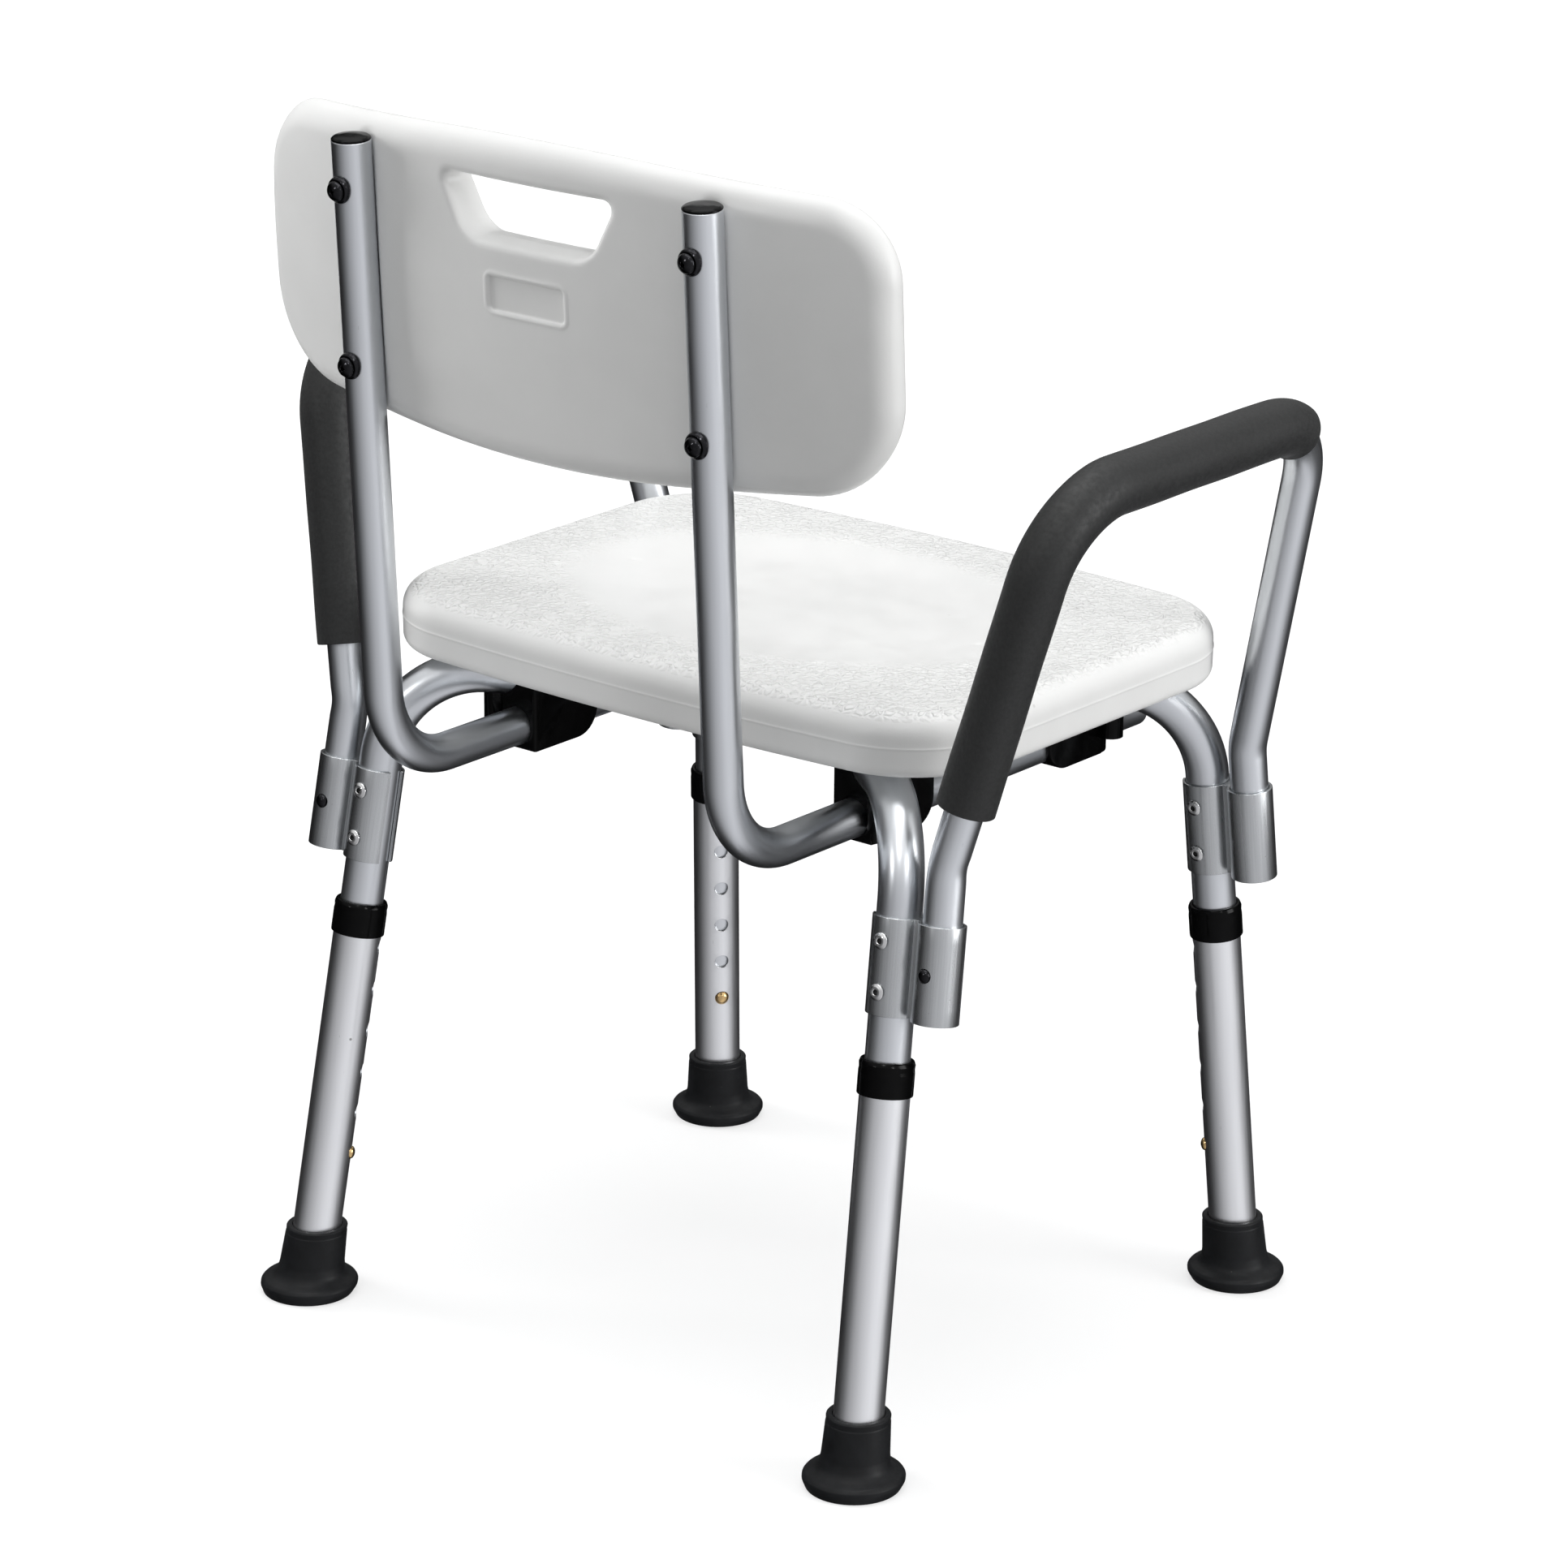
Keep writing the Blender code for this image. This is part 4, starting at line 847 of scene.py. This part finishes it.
def arm_corners(side):
    sign = SIDES[side]

    def socket(end, height):
        return leg_point(side, end, height) + Vector((sign * SOCKET_OFFSET, 0, 0))

    bends = [Vector((sign * ARM_BENDS[end][0], ARM_BENDS[end][1], ARM_TOP_Z)) for end in ENDS]
    rear = [socket("rear", ARM_BOTTOM_Z), socket("rear", ARM_KNEE_Z["rear"])]
    return [*rear, *bends, socket("front", ARM_KNEE_Z["front"]), socket("front", ARM_BOTTOM_Z)]


def build_arm(side):
    corners = arm_corners(side)
    radii = [ARM_KNEE_RADIUS, ARM_BEND_RADIUS["rear"], ARM_BEND_RADIUS["front"], ARM_KNEE_RADIUS]
    path = fine_path(corners, radii)
    length = sum((b - a).length for a, b in zip(path, path[1:]))
    dents = knee_dents(((corners[1] - corners[0]).length, length - (corners[5] - corners[4]).length))
    name = "arm_tube_metal_" + side
    mesh = swept_tube(name, path, ARM_RADIUS, ARM_RADIUS - ARM_WALL, swell=dents)
    piece(name, mesh, TUBE_ALLOY, "frame", "arm_tube_" + side)
    knee, rear, front, low = corners[1:5]
    start = knee.lerp(rear, (GRIP_START_Z - knee.z) / (rear.z - knee.z))
    bends = arc_corner(knee, rear, front, ARM_BEND_RADIUS["rear"], 24)
    last = arc_corner(rear, front, low, ARM_BEND_RADIUS["front"], 24)[:10]
    foam = [start, *split(start, bends[0], 0.008), *bends, *split(bends[-1], last[0], 0.008), *last]
    name = "arm_foam_" + side
    mesh = swept_tube(name, foam, GRIP_RADIUS, ARM_RADIUS + GAP, sides=56, lip=0.0006, swell=foam_swell)
    grip = piece(name, mesh, FOAM, "frame", "arm_grip_" + side)


def build_back_tube(side):
    x = SIDES[side] * BACK_X
    corner = Vector((x, *BACK_CORNER))
    top = BACK_PLACE @ Vector((x, 0, UPRIGHT_LENGTH))
    path = fine_path([top, corner, Vector((x, RUNNER_FRONT_Y, corner.z))], [BACK_BEND])
    name = "back_tube_metal_" + side
    mesh = swept_tube(name, path, BACK_TUBE_RADIUS, BACK_TUBE_RADIUS - BACK_TUBE_WALL)
    piece(name, mesh, TUBE_ALLOY, "back", "back_tube_" + side)


def holed_tube(name, outer, inner, low, high, hole, heights, sides=48, half=4):
    """An upright tube with round holes through its +X wall, each in its own patch of rings."""
    cell, lip, chamfer = 2 * pi / sides, 0.0003, 0.00035
    step = outer * cell
    lines = [low + lip]
    for height in heights:
        lines += [height + step * k for k in range(-half, half + 1)]
    lines.append(high - lip)
    border = [(half, b) for b in range(-half, half)] + [(a, half) for a in range(half, -half, -1)]
    border += [(-a, -b) for a, b in border]
    starts = [1 + i * (2 * half + 1) for i in range(len(heights))]
    skipped = {(s + k, c % sides) for s in starts for k in range(2 * half) for c in range(-half, half)}
    verts, vert_uvs, faces = [], [], []

    def vert(theta, radius, height):
        verts.append((radius * cos(theta), radius * sin(theta), height))
        vert_uvs.append((theta * outer, height))
        return len(verts) - 1

    def strip(one, two, inward=False, kept=lambda j: True):
        """Faces between two loops of equally many points. It gives back the second loop."""
        for j in filter(kept, range(len(one))):
            n = (j + 1) % len(one)
            corners = (one[j], one[n], two[n], two[j])
            faces.append(corners[::-1] if inward else corners)
        return two

    def hole_loop(radius, height, size, share=1.0):
        """A loop round a hole: share 0 is the patch's border, and share 1 the hole's own edge."""
        loop = []
        for a, b in border:
            around = np.arctan2(b, a)
            theta = np.arcsin(size * cos(around) / radius)
            near = height + size * sin(around)
            far = height + b * step
            blend = (a * cell * (1 - share) + theta * share, far * (1 - share) + near * share)
            loop.append(vert(blend[0], radius, blend[1]))
        return loop

    walls, grids = [], []
    for radius, inward in ((outer, False), (inner, True)):
        grid = [[vert(c * cell, radius, z) for c in range(sides)] for z in lines]
        for r in range(len(lines) - 1):
            strip(grid[r], grid[r + 1], inward, lambda c, r=r: (r, c) not in skipped)
        for i, height in enumerate(heights):
            loop = [grid[starts[i] + half + b][a % sides] for a, b in border]
            for share in (0.55, 1.0):
                loop = strip(loop, hole_loop(radius, height, hole + lip, share), inward)
            if inward:
                strip(walls[i], loop)
            else:
                walls.append(strip(loop, hole_loop(radius - chamfer, height, hole)))
        grids.append(grid)
    for row, edge in ((0, low), (-1, high)):
        loop = grids[0][row]
        for radius in (outer - lip, inner + lip):
            loop = strip(loop, [vert(c * cell, radius, edge) for c in range(sides)], inward=row == 0)
        strip(loop, grids[1][row], inward=row == 0)
    return mesh_from(name, verts, faces, [vert_uvs[i] for corners in faces for i in corners])


def build_leg_extension(side, end):
    label, place = "%s_%s" % (end, side), leg_frame(side, end)
    outer, inner = EXTENSION_RADIUS, EXTENSION_RADIUS - EXTENSION_WALL
    heights = [HOLE_START + HOLE_PITCH * i for i in range(HOLES)]
    name = "leg_extension_tube_" + label
    mesh = holed_tube(name, outer, inner, EXTENSION_START, EXTENSION_TOP, HOLE_RADIUS, heights)
    piece(name, mesh, LEG_ALLOY, "leg_" + label, "leg_extension_" + label, place)
    top = EXTENSION_TOP + GAP
    low, over, lip = top - COLLAR_DEPTH, outer + GAP, LEG_RADIUS + GAP
    profile = [(lip, top), (lip, top + 0.0020), (0.0148, top + 0.0020, 0.0009)]
    profile += [(0.0157, top - 0.0004, 0.0010), (0.01545, top - 0.0030, 0.001), (0.0157, top - 0.0050, 0.002)]
    profile += [(0.0157, low, 0.0007), (over, low, 0.0004), (over, top, 0.0003)]
    name = "leg_collar_ring_" + label
    mesh = turned(name, rounded_profile(profile, 0.0005), closed=True)
    piece(name, mesh, GLOSS_BLACK, "leg_" + label, "leg_collar_" + label, place)


def build_foot(side, end):
    """A rubber foot: a sleeve, a flared skirt and two rings to stand on, sheared along its leg."""
    label = "%s_%s" % (end, side)
    bore, deep = EXTENSION_RADIUS + 2 * GAP, 0.007
    profile = [(0, deep), (bore, deep), (bore, 0.041, 0.0004), (0.0174, 0.041, 0.0006)]
    profile += [(0.0182, 0.0402, 0.0008), (0.0180, 0.0372, 0.0006), (0.0183, 0.0366, 0.0006)]
    profile += [(0.0193, 0.018, 0.012), (0.0208, 0.0112, 0.007), (0.0275, 0.0086, 0.003)]
    profile += [(0.0289, 0.0068, 0.0016), (0.0289, 0.0045, 0.002), (0.0266, 0.0, 0.0012)]
    profile += [(0.0215, 0.0, 0.0004), (0.0207, 0.0011, 0.0006), (0.0150, 0.0011, 0.0006)]
    profile += [(0.0142, 0.0, 0.0004), (0.0080, 0.0, 0.0004), (0.0072, 0.0011, 0.0004), (0.0, 0.0011)]
    name = "foot_%s_rubber" % label
    mesh = turned(name, rounded_profile(profile, 0.0006, 4), sides=64)
    slant = Matrix.Identity(4)
    slant[0][2], slant[1][2] = -SIDES[side] * LEG_LEAN[end][0], -LEG_LEAN[end][1]
    mesh.transform(slant)
    place = Matrix.Translation(leg_point(side, end, 0))
    piece(name, mesh, RUBBER, "leg_" + label, "foot_" + label, place)


# Fasteners and buttons.


def joined(name, meshes):
    edit = bmesh.new()
    for mesh in meshes:
        edit.from_mesh(mesh)
        bpy.data.meshes.remove(mesh)
    mesh = bpy.data.meshes.new(name)
    edit.to_mesh(mesh)
    edit.free()
    mesh.shade_smooth()
    mesh.set_sharp_from_angle(angle=radians(32))
    return mesh


def ribbon(name, path, width, thickness):
    """A flat strip along a path in the XZ plane, with rounded edges."""
    half, flat, edge = width / 2, thickness / 2, thickness * 0.3
    outline = [(flat, half - edge), (flat - edge, half), (edge - flat, half), (-flat, half - edge)]
    outline += [(-x, -y) for x, y in outline]
    rings = [[path[0]]]
    for i, point in enumerate(path):
        along = (path[min(i + 1, len(path) - 1)] - path[max(i - 1, 0)]).normalized()
        across = Vector((along.z, 0, -along.x))
        rings.append([point + across * x + Vector((0, y, 0)) for x, y in outline])
    rings.append([path[-1]])
    return ring_mesh(name, rings, [0.001 * i for i in range(len(rings) + 1)])


def build_button(kind, label, place, material, pin_end, inner_radius, travel):
    """A leaf spring folded in a tube, with a domed pin through the tube's wall along +X."""
    leaf_thickness, leaf_width, pin = 0.0009, 0.008, 0.0039
    clear = inner_radius * cos(pi / 16) - GAP
    near = (clear**2 - (leaf_width / 2) ** 2) ** 0.5 - leaf_thickness / 2
    far = travel - near
    corners = [(far, -0.010), (0.25 * far, 0.020), (0.0, 0.0225), (0.3 * near, 0.0215)]
    corners = [Vector((x, 0, z)) for x, z in [*corners, (near, 0.008), (near, -0.006)]]
    path = bent_path(corners, [0.012, 0.0012, 0.0012, 0.012], radians(12), 0.0003)
    name = "%s_button_spring_%s" % (kind, label)
    leaf = ribbon(name + "_leaf", path, leaf_width, leaf_thickness)
    low, dome = near - 0.0002, pin * 0.62
    arc = [(pin * sin(t * pi / 16), pin_end - dome + dome * cos(t * pi / 16)) for t in range(9)]
    mesh = turned(name + "_pin", [*arc, (pin, low), (0, low)], sides=36)
    mesh.transform(turn((0, 1, 0), pi / 2))
    body, replaced = "%s_button_%s" % (kind, label), "%s_snap_button_%s" % (kind, label)
    piece(name, joined(name, [leaf, mesh]), material, body, replaced, place)


def build_leg_button(side, end):
    place = leg_frame(side, end) @ Matrix.Translation((0, 0, HOLE_START))
    reach, inner = EXTENSION_RADIUS + LEG_BUTTON_PROUD, LEG_RADIUS - LEG_WALL
    build_button("leg", "%s_%s" % (end, side), place, BRASS, reach, inner, LEG_BUTTON_TRAVEL)


def build_side_buttons(side):
    place = bracket_frame(side, "rear") @ Matrix.Translation((SOCKET_OFFSET, 0, 0))
    place = place @ turn((0, 0, 1), SIDES[side] * pi / 2)
    reach, inner = ARM_RADIUS + GAP + SOCKET_WALL + ARM_BUTTON_PROUD, ARM_RADIUS - ARM_WALL
    build_button("arm", side, place, DARK_CHROME, reach, inner, SIDE_BUTTON_TRAVEL)
    at = Vector((SIDES[side] * BACK_X, crossing(side, "rear").y, BACK_CORNER[1]))
    place = placement(at, (0, -1, 0), (0, 0, -1))
    reach, inner = at.z - BLOCK_BOTTOM + BACK_BUTTON_PROUD, BACK_TUBE_RADIUS - BACK_TUBE_WALL
    build_button("back", side, place, BRASS, reach, inner, SIDE_BUTTON_TRAVEL)


def screw_mesh(name, radius, height, under, tip):
    """A pan-head screw with a cross recess. Its head is up, from the height called under."""
    shank, blade_half = 0.0025, 0.00055

    def field(x, y, z):
        r = np.hypot(x, y)
        deep = under + height - z
        head = np.maximum(plate(r - radius, 0.42 * r**2 / radius - deep, 0.0010), under - z)
        wide, tall = np.abs(x), np.abs(y)
        blade = 0.36 * radius - 0.42 * deep
        arm = np.minimum(
            np.maximum(wide - blade_half, tall - blade), np.maximum(tall - blade_half, wide - blade)
        )
        core = r - 0.0011 + 0.3 * deep
        cross = np.maximum(smooth_min(arm, core, 0.0004), under + 0.25 * height - z)
        head = smooth_max(head, -cross, 0.00025)
        return np.minimum(head, np.maximum(np.maximum(r - shank, z - under - 0.0005), tip - z))

    flat = lattice(-radius - 0.0006, radius + 0.0007, 0.00030)
    fine = (under - 0.0004, under + height + 0.01, 0.00026)
    tall = lattice(tip - 0.0015, under + height + 0.0008, 0.0011, [fine])
    return surface_net(name, field, (flat, flat, tall), sharp=40)


def build_back_fasteners():
    to_rear, low = turn((1, 0, 0), -pi / 2), BACK_TUBE_RADIUS + GAP
    high = low + 0.0025
    screw = screw_mesh("back_screw_body", 0.0056, 0.0038, high + GAP, -0.024)
    profile = [(0.0028, low), (0.0028, high), (0.0064, high, 0.0006), (0.0072, high - 0.0009, 0.0006)]
    profile += [(0.0077, low + 0.0004, 0.0004), (0.0077, low, 0.0002)]
    washer = turned("back_washer_body", rounded_profile(profile, 0.0004), closed=True)
    for side in SIDES:
        for number, height in enumerate(SCREW_HEIGHTS, start=1):
            spin = turn((0, 0, 1), 0.5 + 1.9 * number + 0.8 * SIDES[side])
            place = BACK_PLACE @ Matrix.Translation((SIDES[side] * BACK_X, 0, height)) @ to_rear @ spin
            for kind, mesh in (("screw", screw), ("washer", washer)):
                names = ["back_%s%s_%s_%d" % (kind, part, side, number) for part in ("_metal", "")]
                piece(names[0], mesh.copy(), DARK_CHROME, "back", names[1], place)
    bpy.data.meshes.remove(screw)
    bpy.data.meshes.remove(washer)


def build_end_plug(side):
    top, tube = UPRIGHT_LENGTH + GAP, BACK_TUBE_RADIUS
    stub = tube - BACK_TUBE_WALL - GAP
    profile = [(0, top + 0.0025), (0.5 * tube, top + 0.00235, 0.02), (tube - 0.0012, top + 0.0018, 0.002)]
    profile += [(tube, top + 0.0008, 0.0009), (tube, top, 0.0002), (stub, top, 0.0002)]
    profile += [(stub, top - 0.0115, 0.0005), (stub - 0.0008, top - 0.012, 0.0004)]
    profile += [(stub - 0.0018, top - 0.012), (stub - 0.0018, top - 0.0005), (0, top - 0.0005)]
    name = "end_plug_cap_" + side
    place = BACK_PLACE @ Matrix.Translation((SIDES[side] * BACK_X, 0, 0))
    mesh = turned(name, rounded_profile(profile, 0.0004, 4))
    piece(name, mesh, GLOSS_BLACK, "back", "end_plug_" + side, place)


# Brackets.


def arc(centre, radius, start, end, steps):
    angles = [start + (end - start) * i / steps for i in range(steps + 1)]
    return [(centre[0] + radius * cos(a), centre[1] + radius * sin(a)) for a in angles]


def evaluated(obj):
    graph = bpy.context.evaluated_depsgraph_get()
    return bpy.data.meshes.new_from_object(obj.evaluated_get(graph))


def slab_mesh(name, outlines, thickness, edge, edge_steps=2):
    """A flat outline, with holes where more than one is given, thickened about Z = 0."""
    curve = bpy.data.curves.new(name, "CURVE")
    curve.dimensions = "2D"
    for outline in outlines:
        spline = curve.splines.new("POLY")
        spline.points.add(len(outline) - 1)
        for point, position in zip(spline.points, outline):
            point.co = (*position, 0, 1)
        spline.use_cyclic_u = True
    curve.fill_mode = "BOTH"
    curve.extrude = thickness / 2 - edge
    curve.bevel_depth, curve.bevel_resolution, curve.offset = edge, edge_steps, -edge
    holder = linked(name, curve)
    mesh = evaluated(holder)
    bpy.data.objects.remove(holder)
    edit = bmesh.new()
    edit.from_mesh(mesh)
    bmesh.ops.remove_doubles(edit, verts=edit.verts, dist=1e-6)
    bmesh.ops.recalc_face_normals(edit, faces=edit.faces)
    edit.to_mesh(mesh)
    edit.free()
    mesh.materials.clear()
    return mesh


def sliced(mesh, heights):
    """Cuts a mesh's upright faces across, so that a later hole shades cleanly."""
    edit = bmesh.new()
    edit.from_mesh(mesh)
    for height in heights:
        geometry = [*edit.verts, *edit.edges, *edit.faces]
        bmesh.ops.bisect_plane(edit, geom=geometry, dist=1e-7, plane_co=Z * height, plane_no=Z)
    edit.to_mesh(mesh)
    edit.free()
    return mesh


def shaped(name, make, **options):
    """A mesh of one of Blender's basic shapes."""
    edit = bmesh.new()
    make(edit, **options)
    mesh = bpy.data.meshes.new(name)
    edit.to_mesh(mesh)
    edit.free()
    return mesh


def rod(radius, start, end, sides=40):
    start, end = Vector(start), Vector(end)
    span = end - start
    ends = {"segments": sides, "radius1": radius, "radius2": radius, "depth": span.length}
    mesh = shaped("rod", bmesh.ops.create_cone, cap_ends=True, **ends)
    hint = (1, 0, 0) if abs(span.normalized().x) < 0.9 else (0, 1, 0)
    mesh.transform(placement((start + end) / 2, span, hint))
    return mesh


def carved(name, mesh, cutters, added=(), bevel=0.0):
    """The mesh with anything added, each cutter taken out and its new edges broken by a small bevel."""
    obj = linked(name, mesh)
    helpers = []
    for cutter in [*added, *cutters]:
        helpers.append(linked("cutter", cutter))
        modifier = obj.modifiers.new("cut", "BOOLEAN")
        modifier.operation = "UNION" if cutter in added else "DIFFERENCE"
        modifier.solver, modifier.object = "EXACT", helpers[-1]
    if bevel:
        modifier = obj.modifiers.new("bevel", "BEVEL")
        modifier.width, modifier.segments, modifier.limit_method = bevel, 2, "ANGLE"
        modifier.angle_limit = radians(40)
        modifier.use_clamp_overlap = True
    result = evaluated(obj)
    result.name = name
    for helper in [*helpers, obj]:
        data = helper.data
        bpy.data.objects.remove(helper)
        bpy.data.meshes.remove(data)
    result.shade_smooth()
    result.set_sharp_from_angle(angle=radians(35))
    result.materials.clear()
    return result


def build_arm_bracket(side, end):
    label, place, rear = "%s_%s" % (end, side), bracket_frame(side, end), SIDES[side]
    clamp_in, socket_in, middle = LEG_RADIUS + GAP, ARM_RADIUS + GAP, (SOCKET_OFFSET, 0)
    clamp_out, socket_out = clamp_in + CLAMP_WALL, socket_in + SOCKET_WALL
    clamp_web, socket_web = HALF_WEB / clamp_out, HALF_WEB / socket_out
    outline = arc((0, 0), clamp_out, clamp_web, pi - CLAMP_SLIT, 22)
    outline += arc((0, 0), clamp_in, pi - CLAMP_SLIT, CLAMP_SLIT - pi, 46)
    outline += arc((0, 0), clamp_out, pi + CLAMP_SLIT, 2 * pi - clamp_web, 22)
    outline += arc(middle, socket_out, pi + socket_web, 3 * pi - socket_web, 44)
    bore = arc(middle, socket_in, 0, 2 * pi, 44)[:-1]
    name, cutters = "arm_bracket_body_" + label, []
    mesh = slab_mesh(name, [outline, bore], BRACKET_LENGTH, BRACKET_EDGE)
    if end == "rear":
        steps = [*range(-6, 7), *range(-9, -16, -1), *range(9, 16)]
        mesh = sliced(mesh, [0.0012 * i for i in steps])
        cutters.append(rod(HOLE_RADIUS, (SOCKET_OFFSET, rear * 0.008, 0), (SOCKET_OFFSET, rear * 0.018, 0)))
    piece(name, carved(name, mesh, cutters), BRACKET_ALLOY, "frame", "arm_bracket_" + label, place)
    under, shank, inside = clamp_out + GAP, 0.0024, LEG_RADIUS - LEG_WALL - 0.001
    top = under + RIVET_HEIGHT
    profile = [(0, under), (0.0013, under, 0.0003), (0.0016, top, 0.0004), (0.0030, top, 0.0010)]
    profile += [(0.0046, top - 0.0009, 0.0006), (RIVET_HEAD, under, 0.0002)]
    profile += [(shank, under, 0.0002), (shank, inside, 0.0002), (0, inside)]
    for number, height in enumerate((-RIVET_SPACING / 2, RIVET_SPACING / 2), start=1):
        name = "bracket_rivet_metal_%s_%d" % (label, number)
        mesh = turned(name, rounded_profile(profile, 0.0003, 4), sides=40)
        spot = place @ Matrix.Translation((0, 0, height)) @ turn((1, 0, 0), -rear * pi / 2)
        piece(name, mesh, [STEEL, RIVET_HOLLOW_SHADE], "frame", "bracket_rivet_%s_%d" % (label, number), spot)
        # Faces inside the rivet's bore take the painted shade material.
        for face in mesh.polygons:
            at = face.center
            face.material_index = int(at.to_2d().length < RIVET_BORE and at.z > inside + 0.001)


def block_mesh(end, centre):
    """A tube bracket's block before anything is cut: upright, along the runner."""
    height = SEAT_BOTTOM - GAP - BLOCK_BOTTOM
    flat = [(-BLOCK_OUTWARD, 0), (BLOCK_INWARD, 0), (BLOCK_INWARD, height), (-BLOCK_OUTWARD, height)]
    corners = [Vector((x, y, 0)) for x, y in flat]
    outline = []
    for i in range(4):
        radius, steps = (BLOCK_CORNER, 14) if i == 1 else (BLOCK_SMALL_CORNER, 3)
        outline += arc_corner(corners[i - 1], corners[i], corners[(i + 1) % 4], radius, steps)
    mesh = slab_mesh("block", [[(p.x, p.y) for p in outline]], BLOCK_WIDTH, BLOCK_EDGE, 3)
    inward = Vector((0, -1 if end == "rear" else 1, 0))
    upright = Matrix((inward, Z, inward.cross(Z))).transposed().to_4x4()
    mesh.transform(Matrix.Translation((centre.x, centre.y, BLOCK_BOTTOM)) @ upright)
    return mesh


def arch_channel(side, end, centre, along):
    """The room that a bracket leaves for an arch, as a rod and a box that opens it to one side."""
    channel, sides = LEG_RADIUS + GAP, 40
    corners = [leg_point(side, end, z) for z in (BRACKET_Z, ARCH_Z)] + [centre + along * 2 * BLOCK_WIDTH]
    path = bent_path(corners, [ARCH_BEND], radians(5))
    angles = [2 * pi * j / sides for j in range(sides)]
    rings = [[path[0]]]
    for point, one, two, _ in path_frames(path):
        rings.append([point + (one * cos(a) + two * sin(a)) * channel for a in angles])
    rings.append([path[-1]])
    way = ring_mesh("way", rings, [0.0] * (len(rings) + 1))
    low, high = Vector((0.0004, -channel - 0.0006, -0.05)), Vector((0.03, channel + 0.0006, 0.05))
    box = shaped("box", bmesh.ops.create_cube, size=1)
    sized = Matrix.Translation((low + high) / 2) @ Matrix.Diagonal((*(high - low), 1))
    box.transform(placement(centre, along, Z) @ sized)
    return [way, box]


def build_tube_bracket(side, end):
    label, centre, along = "%s_%s" % (end, side), crossing(side, end), arch_direction(side, end)
    seat = centre - along * FRAME_SCREW_REACH
    seat.z = FRAME_SCREW_SEAT
    boss = rod(BOSS_RADIUS, (seat.x, seat.y, BOSS_BOTTOM), (seat.x, seat.y, SEAT_BOTTOM - GAP - 0.0002))
    runner, reach = Vector((centre.x, centre.y, BACK_CORNER[1])), Vector((0, 0.09, 0))
    cutters = arch_channel(side, end, centre, along)
    cutters.append(rod(BACK_TUBE_RADIUS + GAP, runner - reach, runner + reach, 48))
    cutters.append(rod(SCREW_HEAD_BORE, seat - Z * 0.03, seat, 32))
    cutters.append(rod(SCREW_SHANK_BORE, seat - Z * 0.001, seat + Z * 0.06, 24))
    if end == "rear":
        cutters.append(rod(HOLE_RADIUS, runner - Z * 0.005, runner - Z * 0.03, 32))
    name = "tube_bracket_body_" + label
    mesh = carved(name, block_mesh(end, centre), cutters, [boss], bevel=0.0004)
    piece(name, mesh, GLOSS_BLACK, "frame", "tube_bracket_" + label)
    name = "frame_screw_metal_" + label
    mesh = screw_mesh(name, 0.0046, 0.0036, GAP, FRAME_SCREW_SEAT - SEAT_BOTTOM - 0.010)
    place = Matrix.Translation(seat) @ turn((1, 0, 0), pi) @ turn((0, 0, 1), 0.7 * SIDES[side])
    piece(name, mesh, STEEL, "frame", "frame_screw_" + label, place)


bpy.context.scene.view_settings.view_transform = "Standard"
build_camera()
build_world()
build_floor()
softbox("top", (0, 0.1, 2.6), 0.4, (2.0, 2.0), 33)
softbox("left", (3.0, 0.9, 1.0), 0.45, (1.4, 1.6), 62, glossy=False)
softbox("right", (-2.9, -0.9, 1.1), 0.4, (1.4, 1.8), 54)
softbox("glint_high", (-0.95, 2.0, 2.6), 0.4, (0.22, 0.22), 9, diffuse=False)
softbox("glint_right", (-2.6, 1.1, 1.9), 0.4, (0.16, 0.36), 7, diffuse=False)
softbox("glint_left", (0.6, 2.8, 1.6), 0.4, (0.16, 0.30), 8, diffuse=False)

build_seat()
build_backrest()
build_back_fasteners()
build_leg_arch("leg_arch_left", "left", dipped=False)
build_leg_arch("leg_arch_right", "right", dipped=True)
for side in SIDES:
    build_arm(side)
    build_back_tube(side)
    build_end_plug(side)
    build_side_buttons(side)
for side, end in CORNERS:
    build_leg_extension(side, end)
    build_foot(side, end)
    build_leg_button(side, end)
    build_arm_bracket(side, end)
    build_tube_bracket(side, end)
